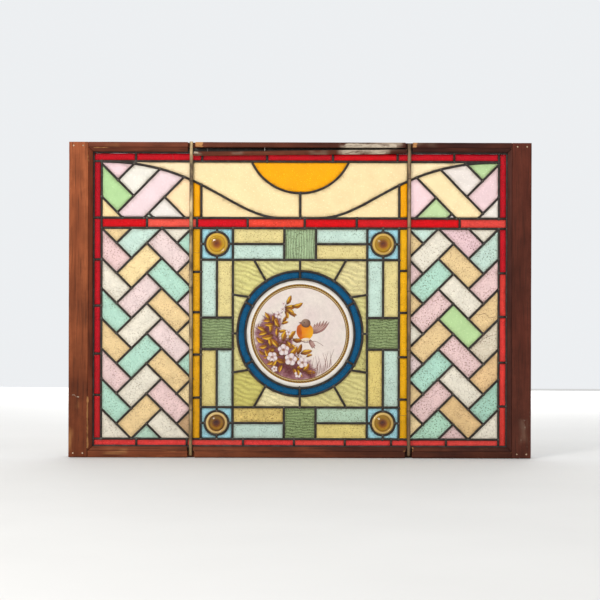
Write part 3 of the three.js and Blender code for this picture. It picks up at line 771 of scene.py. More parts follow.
def slot_of(colour):
    """The record's slot whose glass is nearest in colour."""
    choices = {"white_glass": WHITE, "cream_glass": CREAM, "pink_glass": PINK, "peach_glass": PEACH,
               "aqua_glass": AQUA, "amber_glass": AMBER, "red_glass": RUBY}
    return min(choices, key=lambda slot: sum((p - q) ** 2 for p, q in zip(choices[slot], colour)))


def is_leaf_green(colour):
    return colour[1] > colour[2] + 40 and colour[1] > colour[0] + 20


def lay_border():
    sides = {
        "top": row(TOP_JOINTS, -EDGE_X, BORDER_X, BORDER_TOP, EDGE_TOP),
        "band": row(BAND_JOINTS, -BORDER_X, EDGE_X, BAND_BOTTOM, BAND_TOP),
        "bottom": row(BOTTOM_JOINTS, -EDGE_X, BORDER_X, EDGE_BOTTOM, BORDER_BOTTOM),
        "left": column(LEFT_JOINTS, BORDER_BOTTOM, BORDER_TOP, -EDGE_X, -BORDER_X),
        "right": [*column(RIGHT_JOINTS, EDGE_BOTTOM, BAND_BOTTOM, BORDER_X, EDGE_X),
                  rectangle(BORDER_X, BAND_TOP, EDGE_X, EDGE_TOP)],
    }
    for side, outlines in sides.items():
        for i, (outline, colour) in enumerate(zip(outlines, REDS[side])):
            lay(f"border_{side}_{i + 1}", outline, colour, "deep", "red_glass")


def lay_side_fields():
    for series, index, outline in herringbone_panes():
        for side, shape in (("left", outline), ("right", mirrored(outline))):
            colours = BRICKS[side][series]
            colour = colours[min(index, len(colours) - 1)]
            slot = slot_of(colour)
            kind = "speckled" if side == "right" and slot in ("pink_glass", "aqua_glass") else "seedy"
            kind = "smooth" if is_leaf_green(colour) else kind
            lay(f"brick_{side}_{series}{index}", shape, colour, kind, slot)


def lay_upper_band():
    for i, outline in enumerate(upper_panes()):
        for side, shape in (("left", outline), ("right", mirrored(outline))):
            colour = UPPER[side][i]
            lay(f"upper_{side}_{i + 1}", shape, colour, "smooth", slot_of(colour))
    lay("sun", sun_edge, SUN, "smooth", "amber_glass", "sun_pane")


def lay_amber_strips():
    for side, colour, left, right in (("left", AMBER, -AMBER_OUT, -AMBER_IN),
                                      ("right", DEEP_AMBER, AMBER_IN, AMBER_OUT)):
        for i, outline in enumerate(column(AMBER_JOINTS[side], BORDER_BOTTOM, BAND_BOTTOM, left, right)):
            lay(f"amber_{side}_{i + 1}", outline, colour, "deep", "amber_glass")


def lay_centre():
    for i, outline in enumerate(ground_panes()):
        kind = "hammered" if i in HAMMERED_GROUND else "wavy"
        lay(f"ground_{i + 1}", outline, GROUND[i], kind, "ground_glass", f"ground_pane_{i + 1}", GROUND_GRID)
    for i, outline in enumerate(ring_panes()):
        lay(f"blue_ring_{i + 1}", outline, BLUE, "deep", "blue_glass", f"ring_pane_{i + 1}")
    for i, outline in enumerate(strip_panes()):
        kind = "hammered" if i in HAMMERED_STRIPS else "seedy"
        slot = "strip_glass" if STRIPS[i][2] < 170 else "aqua_glass"
        lay(f"strip_{i + 1}", outline, STRIPS[i], kind, slot, f"strip_pane_{i + 1}")
    for side, outline in green_panes().items():
        kind = "ribbed_up" if side == "top" else "ribbed_across"
        lay(f"green_square_{side}", outline, GREENS[side], kind, "green_glass", f"green_pane_{side}",
            SQUARE_GRID)


JEWELS = {"top_left": (-STRIP_X, STRIP_TOP), "top_right": (STRIP_X, STRIP_TOP),
          "bottom_left": (-STRIP_X, STRIP_BOTTOM), "bottom_right": (STRIP_X, STRIP_BOTTOM)}


def lay_jewel_squares():
    for corner, (x, z) in JEWELS.items():
        for i, outline in enumerate(spandrel_panes(x, z)):
            lay(f"spandrel_{corner}_{i + 1}", outline, SPANDREL, "seedy", "spandrel_glass")


# ---- Cast jewels ----

# Radius, rise above the glass, and the colour of a bright and of a dark jewel, from the rim to the middle
JEWEL_RINGS = [
    (25.3, 0.0, (110, 74, 20), (96, 66, 26)), (24.2, 0.6, (190, 140, 44), (150, 110, 50)),
    (23.4, 2.4, (224, 176, 70), (230, 196, 126)), (21.8, 3.6, (232, 186, 60), (240, 208, 142)),
    (20.0, 3.9, (236, 188, 36), (238, 202, 128)), (18.4, 3.4, (218, 164, 14), (190, 140, 56)),
    (17.4, 2.8, (196, 140, 4), (96, 58, 8)), (16.0, 3.3, (232, 182, 10), (104, 66, 4)),
    (14.0, 4.6, (230, 178, 6), (146, 100, 8)), (11.0, 5.9, (204, 142, 0), (160, 110, 8)),
    (8.0, 6.6, (168, 98, 0), (120, 66, 8)), (5.0, 7.1, (138, 66, 0), (84, 34, 8)),
    (2.2, 7.3, (122, 52, 0), (72, 24, 14)), (0.6, 7.35, (120, 50, 0), (78, 30, 20)),
]
JEWEL_DARKNESS = {"top_left": 0.1, "top_right": 0.45, "bottom_left": 1.0, "bottom_right": 0.65}
JEWEL_STEPS = 72


def lay_jewels():
    for corner, (x, z) in JEWELS.items():
        jewel = Surface()
        rows = [jewel.ring(x, GLASS_BACK, z, JEWEL_RINGS[0][0], JEWEL_STEPS, linear((120, 80, 26)))]
        for radius, rise, bright, dark in JEWEL_RINGS:
            base = blend(linear(bright), linear(dark), JEWEL_DARKNESS[corner])
            points = []
            for i in range(JEWEL_STEPS):
                angle = 2 * math.pi * i / JEWEL_STEPS
                wobble = 1 + 0.02 * ripple(math.cos(angle) * 3, math.sin(angle) * 3, 2, len(corner))
                reach = radius * (wobble if radius < 23 else 1)
                # Painted light and shade: each ring lighter on one side of the dome and darker on the other.
                glow = 1 + 0.25 * math.cos(angle + 0.9) if radius < 16 else 1 + 0.12 * math.cos(angle - 2.2)
                px, pz = turned(x, z, reach, 0, angle)
                points.append(jewel.add(px, GLASS_FRONT - rise, pz, [c * glow for c in base]))
            rows.append(points)
        jewel.loft(rows)
        jewel.build(f"jewel_glass_{corner}", GLASS["jewel"], "jewel_glass", [f"jewel_{corner}"])


# ---- Lead ----

OLD_LEAD, SOLDER = linear((44, 36, 30)), linear((108, 100, 90))
lead = Surface()


def came_section(half, proud=0.0):
    """One came's section as (across, depth): rounded leaves front and back, and the heart between."""
    arch = [math.pi * i / 6 for i in range(7)]
    rises = [math.sin(a) ** 0.6 for a in arch]
    spans = (LEAF_OUTER[0] - proud - LEAF_INNER[0], LEAF_OUTER[1] + proud - LEAF_INNER[1])
    front = [(-half * math.cos(a), LEAF_INNER[0] + spans[0] * rise) for a, rise in zip(arch, rises)]
    back = [(half * math.cos(a), LEAF_INNER[1] + spans[1] * rise) for a, rise in zip(arch, rises)]
    return [*front, (HALF_HEART, LEAF_INNER[0]), (HALF_HEART, LEAF_INNER[1]),
            *back, (-HALF_HEART, LEAF_INNER[1]), (-HALF_HEART, LEAF_INNER[0])]


def edge_section():
    """The outer lead's section: broad and flat, with its corners eased."""
    section = []
    for inner, outer, side in ((LEAF_INNER[0], LEAF_OUTER[0], 1), (LEAF_INNER[1], LEAF_OUTER[1], -1)):
        half = [(0, outer), (EDGE_HALF_FACE - 0.8, outer + 0.1 * side), (EDGE_HALF_FACE, outer + 0.8 * side),
                (EDGE_HALF_FACE, inner)]
        section += [(-side * across, depth) for across, depth in half[:0:-1]]
        section += [(side * across, depth) for across, depth in half]
    return section


def came(path, section, closed=False, seed=0):
    """Runs a section along a path, with the slight waver of hand-dressed lead."""
    rows = []
    for (x, z), (along_x, along_z) in headings(path, closed):
        waver = 0.18 * ripple(x, z, 30, seed)
        width = 1 + 0.05 * ripple(x, z, 14, seed + 3)
        tone = [c * (1 + 0.25 * ripple(x, z, 18, seed + 5)) for c in OLD_LEAD]
        points = []
        for across, depth in section:
            u = across * width + waver
            dent = 0.12 * ripple(x + across, z, 7, seed + 9) if depth < -6 else 0
            points.append(lead.add(x - along_z * u, depth + dent, z + along_x * u, tone))
        rows.append(points)
    if closed:
        lead.join(rows, around=True, along=True)
    else:
        lead.loft(rows)


def shared_sides():
    """The straight sides of all the panes, longest first. Those in the outer lead are left out."""
    sides = []
    for outline in all_outlines:
        for a, b in sides_of(outline):
            upright = any(abs(a[0] - x) + abs(b[0] - x) < 1 for x in (-EDGE_X, EDGE_X))
            level = any(abs(a[1] - z) + abs(b[1] - z) < 1 for z in (EDGE_BOTTOM, EDGE_TOP))
            length = math.hypot(b[0] - a[0], b[1] - a[1])
            if length > SHORTEST_CAME and not upright and not level:
                sides.append((length, a, b))
    return sorted(sides, reverse=True)


def straight_leads():
    """The straight sides that panes share, joined into whole leads."""
    lines = []
    for length, a, b in shared_sides():
        for (x, z), (ux, uz), spans in lines:
            offsets = [abs((px - x) * uz - (pz - z) * ux) for px, pz in (a, b)]
            if max(offsets) < 0.7:
                spans.append(sorted((px - x) * ux + (pz - z) * uz for px, pz in (a, b)))
                break
        else:
            lines.append((a, ((b[0] - a[0]) / length, (b[1] - a[1]) / length), [[0, length]]))
    leads = []
    for (x, z), (ux, uz), spans in lines:
        joined = []
        for start, end in sorted(spans):
            if joined and start < joined[-1][1] + 2:
                joined[-1][1] = max(joined[-1][1], end)
            else:
                joined.append([start, end])
        leads += [((x + ux * start, z + uz * start), (x + ux * end, z + uz * end)) for start, end in joined]
    return leads


def solder_joint(x, z, seed):
    """A flat pool of solder over a joint, on the front and on the back."""
    radius = dice.uniform(2.9, 3.8)
    stretch, turn = dice.uniform(0.85, 1.25), dice.uniform(0, math.pi)
    bright = dice.uniform(0.25, 1.0)
    for outer, inner, side in ((LEAF_OUTER[0], LEAF_INNER[0], -1), (LEAF_OUTER[1], LEAF_INNER[1], 1)):
        crown = outer + side * 0.35
        rows = []
        for share, drop in ((0.18, 0), (0.55, 0.06), (0.82, 0.3), (0.97, 0.8), (1.0, 1.0)):
            shine = blend(OLD_LEAD, SOLDER, bright * (1 - share * 0.75))
            points = []
            for i in range(12):
                angle = 2 * math.pi * i / 12
                reach = radius * share * (1 + 0.16 * ripple(math.cos(angle), math.sin(angle), 0.9, seed))
                px, pz = turned(x, z, reach * math.cos(angle) * stretch, reach * math.sin(angle) / stretch,
                                turn)
                points.append(lead.add(px, crown + (inner - crown) * drop, pz, shine))
            rows.append(points)
        lead.loft(rows)


def lay_lead():
    section = came_section(HALF_FACE)
    joints = []
    for i, (a, b) in enumerate(straight_leads()):
        came(between_points(a, b, max(int(math.dist(a, b) / 9), 2)), section, seed=i)
        joints += [a, b]
    came(circle(0, MIDDLE_Z, ROUNDEL_RADIUS, 140), section, True, 501)
    came(circle(0, MIDDLE_Z, RING_RADIUS, 150), section, True, 502)
    for i, (x, z) in enumerate(JEWELS.values()):
        came(circle(x, z, JEWEL_RADIUS, 44), section, True, 510 + i)
    for side in (1, -1):
        came([(side * x, z) for x, z in sweep], came_section(HALF_FACE + 0.2, 0.28), seed=520 + side)
    came(sun_edge, section, seed=530)
    low_x, high_x, low_z, high_z = PANEL
    corners = inset(rectangle(low_x, low_z, high_x, high_z), EDGE_HALF_FACE)
    for i, (a, b) in enumerate(sides_of(corners)):
        path = between_points(a, b, 70, -1, 1)
        path = [(min(max(x, low_x), high_x), min(max(z, low_z), high_z)) for x, z in path]
        came(path, edge_section(), seed=540 + i)
    placed = []
    for joint in joints:
        if all(math.dist(joint, other) > 4.5 for other in placed):
            placed.append(joint)
            solder_joint(*joint, len(placed))
    for x, z in ((-BORDER_X, BORDER_TOP), (-365, BORDER_TOP - 2), (365, BORDER_TOP - 2)):
        solder_joint(x, z, 900)
    lead.build("lead_cames", LEAD, "lead", ["leaded_light"])


# ---- Woodwork ----

# The wood's own tone, with painted light: each part lighter to the left and the stiles lighter at the top, as
# if lit from the upper left.
WOOD_TONES_AND_PAINTED_LIGHT = {  # left end and right end of each part of the frame, and lighter tops than feet on the stiles
    "stile_left": ((178, 99, 59), (98, 47, 26)), "stile_right": ((104, 50, 36), (84, 43, 31)),
    "rail_top": ((132, 72, 49), (63, 32, 27)), "rail_bottom": ((138, 74, 44), (58, 28, 22)),
    "bead_left": ((130, 64, 37), (98, 46, 27)), "bead_right": ((88, 45, 35), (70, 35, 27)),
}
RAW_WOOD, OLD_PAINT, SCUFF = linear((196, 140, 86)), linear((206, 190, 168)), linear((150, 128, 108))
# Flaked places: x from, x to, z from, z to, colour, strength
WEAR = [
    (96, 214, 680, 692, OLD_PAINT, 0.60), (88, 190, 668, 678, OLD_PAINT, 0.55),
    (-238, -222, 668, 678, OLD_PAINT, 0.55), (-312, -268, 11, 17, RAW_WOOD, 0.38),
    (-232, -214, 684, 694, RAW_WOOD, 0.75), (246, 258, 684, 696, RAW_WOOD, 0.7),
    (226, 234, 12, 24, RAW_WOOD, 0.45), (247, 254, 10, 22, RAW_WOOD, 0.4),
    (-492, -488, 86, 98, RAW_WOOD, 0.5), (392, 436, 16, 23, RAW_WOOD, 0.4),
    (-469, -465, 20, 134, RAW_WOOD, 0.75), (-469, -464, 650, 676, RAW_WOOD, 0.5),
    (-501, -494, 136, 139, OLD_PAINT, 0.75), (-493, -483, 132, 135, OLD_PAINT, 0.6),
    (-459, -408, 680, 682, RAW_WOOD, 0.6), (-469, -465, 560, 650, RAW_WOOD, 0.42),
    (490, 499, 58, 86, OLD_PAINT, 0.42), (484, 491, 34, 54, OLD_PAINT, 0.42),
    (498, 506, 22, 44, OLD_PAINT, 0.42),
]
# Rubbed and bleached places, softer: the same values
BLEACHED = [
    (88, 224, 680, 696, OLD_PAINT, 0.75), (84, 196, 667, 680, OLD_PAINT, 0.6), (20, 60, 667, 678, SCUFF, 0.4),
    (-240, -220, 667, 680, OLD_PAINT, 0.7), (-150, -128, 669, 677, OLD_PAINT, 0.35),
    (-432, -380, 8, 17, RAW_WOOD, 0.4), (486, 500, 34, 84, SCUFF, 0.34),
    (-493, -487, 110, 123, RAW_WOOD, 0.55), (-509, -500, 14, 66, RAW_WOOD, 0.4),
    (-430, -400, 684, 694, RAW_WOOD, 0.3), (240, 300, 684, 694, SCUFF, 0.3),
]
BEVEL = 0.9  # the worn arris
WOOD_GRID = 4.0


def wood_tone_and_painted_light(node, x, z):
    key = node if node in WOOD_TONES_AND_PAINTED_LIGHT else "rail_" + node.split("_")[1]
    first, last = WOOD_TONES_AND_PAINTED_LIGHT[key]
    # Painted light: darker from left to right, and on the stiles from top to foot, with a random waver.
    share = 1 - z / HEIGHT if key.endswith(("left", "right")) else x / WIDTH + 0.5
    return blend(linear(first), linear(last), share + 0.35 * ripple(x, z, 90, len(node)))


def within(x, z, x0, x1, z0, z1):
    """1 inside a place, fading to 0 a few millimetres outside it."""
    soft = min(5, 1 + (x1 - x0) / 2)
    across = smooth(x, x0 - soft, x0 + soft) * (1 - smooth(x, x1 - soft, x1 + soft))
    return min(across, smooth(z, z0 - 3, z0 + 1) * (1 - smooth(z, z1 - 1, z1 + 3)))


def wood_mesh(node):
    """The CAD solid with worn arrises and a fine grid, the places of its arris points, and its long axis."""
    stick = bmesh.new()
    stick.from_mesh(next(o for o in bpy.data.objects if o.name == node and o.type == "MESH").data)
    bmesh.ops.remove_doubles(stick, verts=stick.verts[:], dist=1e-6)
    bmesh.ops.dissolve_limit(stick, angle_limit=0.02, verts=stick.verts[:], edges=stick.edges[:])
    sharp = [edge for edge in stick.edges if edge.calc_face_angle(0) > 0.3]
    worn = bmesh.ops.bevel(stick, geom=sharp, offset=BEVEL * MM, segments=2, profile=0.5, affect="EDGES")
    arris = {rounded(vert) for face in worn["faces"] for vert in face.verts}
    low = [min(vert.co[axis] for vert in stick.verts) for axis in range(3)]
    high = [max(vert.co[axis] for vert in stick.verts) for axis in range(3)]
    for axis in range(3):
        normal = Vector([float(i == axis) for i in range(3)])
        for spot in spaced(low[axis], high[axis], WOOD_GRID * MM):
            cut(stick, normal * spot, normal, 1e-6)
    bmesh.ops.recalc_face_normals(stick, faces=stick.faces[:])
    stick.normal_update()
    return stick, arris, max(range(3), key=lambda axis: high[axis] - low[axis])


def rounded(vert):
    return tuple(round(c, 7) for c in vert.co)


def wooden(node):
    """A stick of the frame: the CAD solid with worn arrises, slightly uneven faces and its own colouring."""
    stick, arris, long_axis = wood_mesh(node)
    seed = sum(ord(letter) for letter in node) % 50
    handled = 1.0 if node in ("stile_left", "bead_left") or "bottom" in node else 0.75
    tones, wears = [], []
    for vert in stick.verts:
        x, y, z = (value / MM for value in vert.co)
        along, across = (x, z) if long_axis == 0 else (z, x)
        edge = 1.0 if rounded(vert) in arris else 0.0
        tone = [c * (1 + 0.22 * ripple(along * 0.5, across, 16, seed + 7)) for c in wood_tone_and_painted_light(node, x, z)]
        colour = RAW_WOOD
        amount = edge * handled * smooth(ripple(along, across + y, 24, seed), -0.3, 0.5) * 0.72
        if y < 0:
            for *spot, worn_to, strength in WEAR:
                ragged = strength * within(x, z, *spot) * (1 + 0.35 * ripple(x * 0.4, z * 2, 8, 3))
                if ragged > amount:
                    colour, amount = worn_to, ragged
            cloudy = max(0.0, 0.6 + 1.3 * ripple(along * 0.35, across * 1.4, 7, 5))
            for *spot, worn_to, strength in BLEACHED:
                tone = blend(tone, worn_to, strength * within(x, z, *spot) * cloudy)
        tones += [*tone, 1]
        wears += [*colour, min(max(amount, 0), 1)]
        dent = 0.14 * ripple(along * 0.4, across + y, 12, seed)
        dent -= edge * 0.25 * max(0, ripple(along, y, 9, seed + 1))
        vert.co += vert.normal * dent * MM
    mesh = bpy.data.meshes.new("worn_" + node)
    stick.to_mesh(mesh)
    stick.free()
    colour_points(mesh, "tint", tones)
    colour_points(mesh, "wear", wears)
    place("worn_" + node, mesh, WOOD["x" if long_axis == 0 else "z"], "frame_wood", [node])


def lay_woodwork():
    for node in sorted(frame["nodes"]):
        if node.startswith(("stile", "rail", "bead")):
            wooden(node)


# ---- Ironwork, ties and nails ----


def tube(surface, path, radius, colour, sides=10, patina=0.0):
    """A round rod along a path of (x, y, z) points; its radius and colour are functions of the way along it.

    Patina sets the painted shade that darkens all of an upright rod but its front, like the shading of a
    round rod.
    """
    rows = []
    last = len(path) - 1
    for i, point in enumerate(path):
        ahead = (Vector(path[min(i + 1, last)]) - Vector(path[max(i - 1, 0)])).normalized()
        across = ahead.cross(Vector((0, 1, 0)))
        if across.length < 0.1:
            across = ahead.cross(Vector((1, 0, 0)))
        across.normalize()
        up = across.cross(ahead)
        points = []
        for k in range(sides):
            angle = 2 * math.pi * k / sides
            # Painted shade: the rod's sides darker than its front.
            kept = 1 - patina * smooth(math.sin(angle), -0.95, -0.35)
            spot = Vector(point) + (across * math.cos(angle) + up * math.sin(angle)) * radius(i / last)
            points.append(surface.add(*spot, [channel * kept for channel in colour(i / last)]))
        rows.append(points)
    surface.loft(rows)


TIES = [104, 234, 370, 504, 611]  # heights of the copper ties that hold the leads to the bars
BAR_STEPS = 150
BARS = {  # side, how far its top stands above the CAD bar's, and its light and dark patina, the light one partly painted highlight
    "left": (-1, 2.2, (228, 200, 150), (156, 128, 82)),
    "right": (1, -1.0, (176, 144, 106), (120, 92, 62)),
}
BAR_SHRINK = 0.15  # off the CAD bar's radius, for its waver
WIRE = 0.75


def lay_bars():
    for name, (side, rise, light_tone_and_highlight, dark_tone) in BARS.items():
        low, high = ([value / MM for value in corner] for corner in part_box(f"saddle_bar_{name}"))
        x, y = (low[0] + high[0]) / 2, (low[1] + high[1]) / 2
        radius = (high[0] - low[0]) / 2 - BAR_SHRINK
        bottom, top = low[2], high[2] + rise
        heights = [bottom + (top - bottom) * i / BAR_STEPS for i in range(BAR_STEPS + 1)]
        path = [(x + 0.35 * ripple(z, 0, 160, side), y + 0.2 * ripple(z, 5, 130, side), z) for z in heights]

        def size(t, radius=radius, side=side):
            end = min(t, 1 - t) * BAR_STEPS
            return radius * (1 + 0.03 * ripple(t * 690, 9, 15, side)) * (0.9 if end < 0.5 else 1)

        # Patina varies at random along the bar, and the bar lightens towards its top: painted highlight.
        def tone(t, side=side, dark=linear(dark_tone), light=linear(light_tone_and_highlight)):
            return blend(dark, light, 0.45 + 0.7 * ripple(t * 690, 2, 60, side) + (t - 0.5) * 1.1)
        bar = Surface()
        # The bar's sides are darkened by painted shade, leaving its front lighter.
        tube(bar, path, size, tone, sides=20, patina=0.62)
        bar.build(f"iron_saddle_bar_{name}", IRON, "bar_iron", [f"saddle_bar_{name}"])
        for i, z in enumerate(TIES):
            lay_tie(f"copper_tie_{name}_{i + 1}", x, y, z + dice.uniform(-4, 4), radius, side)


def lay_tie(name, x, y, z, radius, side):
    """A copper wire from the lead behind, round the bar, and twisted together in front."""
    tie = Surface()
    tone = linear((92, 74, 52))
    reach = radius + WIRE + 0.1
    loop = []
    for i in range(23):
        angle = math.radians(-60 + 300 * i / 22)
        loop.append((x + reach * math.sin(angle) * side, y + reach * math.cos(angle),
                     z + 1.6 * (i / 22 - 0.5)))
    loop.insert(0, (loop[0][0], LEAF_OUTER[0] - 0.2, loop[0][2]))
    tube(tie, loop, lambda t: WIRE, lambda t: tone, sides=8)
    end = loop[-1]
    twist = []
    for i in range(25):
        t = i / 24
        angle = t * 4 * math.pi
        twist.append((end[0] + side * 5.5 * t + 0.5 * math.cos(angle), end[1] - 0.2 + 0.5 * math.sin(angle),
                      end[2] - 3.5 * t))
    tube(tie, twist, lambda t: WIRE * (1.25 - 0.35 * t), lambda t: tone, sides=8)
    tie.build(name, COPPER, "tie_copper")


PIN_X, PIN_Z = (478, 499), (8.6, 685.6)
PIN_PROFILE = [(0.3, -20.35), (1.1, -20.3), (1.7, -20.1), (1.9, -19.6), (1.9, -18)]  # radius and depth
PIN_TONE = linear((206, 180, 148))
NAIL_X, NAIL_Y, NAIL_FOOT, NAIL_LENGTH, NAIL_RADIUS = (-205, -79), -15.2, 671.5, 11, 0.65


def lay_nails():
    """Pins that hold the corner joints, and two wire nails left showing where the top bead has slipped."""
    spots = [(side * x, z) for side in (-1, 1) for x in PIN_X for z in PIN_Z]
    for i, (x, z) in enumerate(spots):
        pin = Surface()
        pin.loft([pin.ring(x, depth, z, radius, 16, PIN_TONE) for radius, depth in PIN_PROFILE])
        pin.build(f"corner_pin_{i + 1}", NAIL_HEAD, "bar_iron")
    for i, x in enumerate(NAIL_X):
        nail = Surface()
        path = [(x + 0.1 * k, NAIL_Y, NAIL_FOOT + NAIL_LENGTH / 5 * k) for k in range(6)]
        tube(nail, path, lambda t: NAIL_RADIUS, lambda t: linear((190, 182, 172)))
        nail.build(f"bead_nail_{i + 1}", COPPER, "bar_iron")


# ---- Painted roundel: a small bird on a twig, with blossom and autumn leaves ----

MAUVE, PLUM = linear((142, 78, 92)), linear((92, 36, 42))
GROUND_WHITE, BLUSH, RIM_WHITE = linear((238, 228, 216)), linear((234, 216, 210)), linear((243, 237, 228))
LEAF_GOLD, LEAF_LIGHT, LEAF_BROWN = linear((162, 96, 14)), linear((228, 174, 48)), linear((88, 36, 18))
PETAL, PETAL_SHADE = linear((240, 226, 222)), linear((178, 136, 144))
PAINT_FRONT = GLASS_FRONT - 0.06
LAYER = 0.012  # how much further forward each overlapping stroke lies
DISC_RINGS, DISC_SECTORS = 80, 240

# The shadowed foliage runs in a crescent: centre x, centre z, radius
FOLIAGE = [(-62, 24, 20), (-72, 2, 26), (-70, -22, 30), (-60, -44, 34), (-44, -64, 36), (-20, -78, 30),
           (4, -82, 26), (-34, -30, 22), (20, -88, 16)]


def roundel_colour(x, z):
    """The painting's ground at a place: white, with mist among the foliage and at the foot of the grass."""
    tone = blend(GROUND_WHITE, BLUSH, 0.5 + 0.7 * ripple(x, z, 40, 1))
    tone = [c * (1 + 0.07 * ripple(x, z, 5, 11) + 0.06 * ripple(x, z, 13, 12)) for c in tone]
    if math.hypot(x, z) < 104:
        depth = max(1 - math.hypot(x - cx, z - cz) / radius for cx, cz, radius in FOLIAGE)
        depth = max(depth, -0.7) + 0.06 + 0.28 * ripple(x, z, 11, 2) + 0.18 * ripple(x, z, 4.5, 3)
        tone = blend(tone, MAUVE, smooth(depth, -0.2, 0.32) * 0.92)
        tone = blend(tone, PLUM, smooth(depth + 0.3 * ripple(x, z, 7, 4), 0.25, 0.8) * 0.85)
        grass = smooth(-z - 55, 0, 30) * max(1 - abs(x - 52) / 30, 0)
        tone = blend(tone, MAUVE, grass * (0.35 + 0.5 * ripple(x * 3, z * 0.5, 6, 6)))
    return tone


def roundel_ring(disc, ring, depth, strength):
    """One ring of the disc's points. The painting shows through to the back at part of its strength."""
    radius = (ROUNDEL_RADIUS - PANE_MARGIN) * ring / DISC_RINGS
    points = []
    for x, z in circle(0, 0, radius, DISC_SECTORS):
        tone = blend(GROUND_WHITE, roundel_colour(x, z), strength)
        tone = blend(tone, RIM_WHITE, smooth(radius, 107, 109))
        # Grime and painted shade: the disc darkens towards the lead round its rim.
        edge = smooth(radius, 112, 118) * (0.4 + 0.3 * ripple(x, z, 16, 13))
        points.append(disc.add(x, depth, MIDDLE_Z + z, blend(tone, DIRT_AND_SHADE, edge)))
    return points


def lay_roundel():
    disc = Surface()
    front = [roundel_ring(disc, ring, GLASS_FRONT, 1) for ring in range(1, DISC_RINGS + 1)]
    back = [roundel_ring(disc, ring, GLASS_BACK, 0.4) for ring in range(DISC_RINGS, 0, -2)]
    disc.loft(front + back)
    disc.build("painted_roundel", OPAL, "painted_glass", ["roundel"])


class Painting(Surface):
    """Strokes of enamel on the roundel. Places are in millimetres from its centre."""

    def __init__(self):
        super().__init__()
        self.strokes = []

    def stroke(self, rows, around=False, along=False, filled=False):
        """Lays rows of (x, z, colour) as one stroke, just in front of the strokes that it overlaps."""
        xs, zs = [p[0] for line in rows for p in line], [p[1] for line in rows for p in line]
        low_x, high_x, low_z, high_z = min(xs), max(xs), min(zs), max(zs)
        layer = 1 + max((layer for a, b, c, d, layer in self.strokes
                         if a < high_x and b > low_x and c < high_z and d > low_z), default=0)
        self.strokes.append((low_x, high_x, low_z, high_z, layer))
        depth = PAINT_FRONT - layer * LAYER
        numbers = [[self.add(x, depth, MIDDLE_Z + z, colour) for x, z, colour in line] for line in rows]
        self.join(numbers, around, along)
        if filled:
            self.faces.append(tuple(numbers[0]))

    def leaf(self, x, z, length, width, angle, root=LEAF_BROWN, lit=LEAF_LIGHT, shade=LEAF_GOLD, bend=0.12):
        """A pointed leaf from its stalk at (x, z): one half lit, one shaded, with a dark edge and rib."""
        widths = ((-1, root), (-0.8, shade), (-0.14, shade), (0, root), (0.14, lit), (0.8, lit), (1, root))
        rows = []
        for t in (i / 12 for i in range(13)):
            half = width * 1.45 * t**0.7 * (1 - t) ** 0.85 * (1 + 0.08 * math.sin(t * 17 + x))
            off = bend * length * math.sin(math.pi * t)
            share = smooth(t, 0.02, 0.5) * (1 - 0.5 * smooth(t, 0.75, 1))
            rows.append([(*turned(x, z, length * t, off + half * across, math.radians(angle)),
                          blend(root, tone, share)) for across, tone in widths])
        self.stroke(rows)

    def line(self, path, width, colour):
        """A brush line through points, tapering to its end."""
        fine = curve_through(path, 8)
        rows = []
        for i, ((x, z), (along_x, along_z)) in enumerate(headings(fine)):
            half = width / 2 * (1 - 0.75 * i / (len(fine) - 1)) * (1 + 0.25 * ripple(x, z, 5, 8))
            rows.append([(x + along_z * half, z - along_x * half, [c * 0.8 for c in colour]),
                         (x - along_z * half, z + along_x * half, colour)])
        self.stroke(rows)

    def blob(self, x, z, wide, tall, angle, middle, rim, light=(-0.5, 0.6), glow=None):
        """A soft-shaded oval: middle to rim, with a glow towards the light."""
        rows = []
        for share in (0.12, 0.3, 0.5, 0.7, 0.86, 1.0):
            line = []
            for across, up in circle(0, 0, 1, 28):
                tone = blend(middle, rim, share**2)
                tone = blend(tone, glow or middle, max(0, share * (across * light[0] + up * light[1])))
                spot = turned(x, z, wide / 2 * share * across, tall / 2 * share * up, math.radians(angle))
                line.append((*spot, tone))
            rows.append(line)
        self.stroke(rows, around=True, filled=True)

    def blossom(self, x, z, size, turn):
        """Five rounded petals round a dark golden eye."""
        for i in (0, 2, 4, 1, 3):
            angle = turn + i * 72
            self.blob(*turned(x, z, size * 0.48, 0, math.radians(angle)), size, size * 0.94, angle,
                      PETAL, PETAL_SHADE, light=(0.75, 0.3), glow=linear((250, 244, 240)))
        self.blob(x, z, size * 0.55, size * 0.5, 0, linear((140, 98, 84)), blend(PETAL_SHADE, PETAL, 0.3))
        for i in range(7):
            self.blob(*turned(x, z, size * 0.2, 0, math.radians(turn + i * 51)), size * 0.1, size * 0.1, 0,
                      linear((214, 160, 60)), linear((120, 80, 40)))

    def branch(self, path, width, colour, leaves, size, start=0.15, spread=48):
        """A branch with leaves on alternate sides and one at its tip, all kept inside the rope."""
        self.line(path, width, colour)
        fine = curve_through(path, 12)
        for i in range(leaves + 1):
            share = start + (1 - start) * i / leaves
            k = min(int(share * (len(fine) - 1)), len(fine) - 2)
            (x, z), (ahead_x, ahead_z) = fine[k], fine[k + 1]
            heading = math.degrees(math.atan2(ahead_z - z, ahead_x - x))
            heading += 0 if i == leaves else spread * (1 if i % 2 else -1) + dice.uniform(-10, 10)
            length = size * dice.uniform(0.85, 1.2)
            while math.hypot(*turned(x, z, length, 0, math.radians(heading))) > 98 and length > 6:
                length *= 0.9
            lit, shade = LEAF_LIGHT, LEAF_GOLD
            if dice.random() < 0.3:
                lit, shade = blend(LEAF_LIGHT, LEAF_GOLD, 0.7), blend(LEAF_GOLD, LEAF_BROWN, 0.45)
            self.leaf(x, z, length, length * dice.uniform(0.34, 0.44), heading, lit=lit, shade=shade,
                      bend=dice.uniform(-0.14, 0.14))


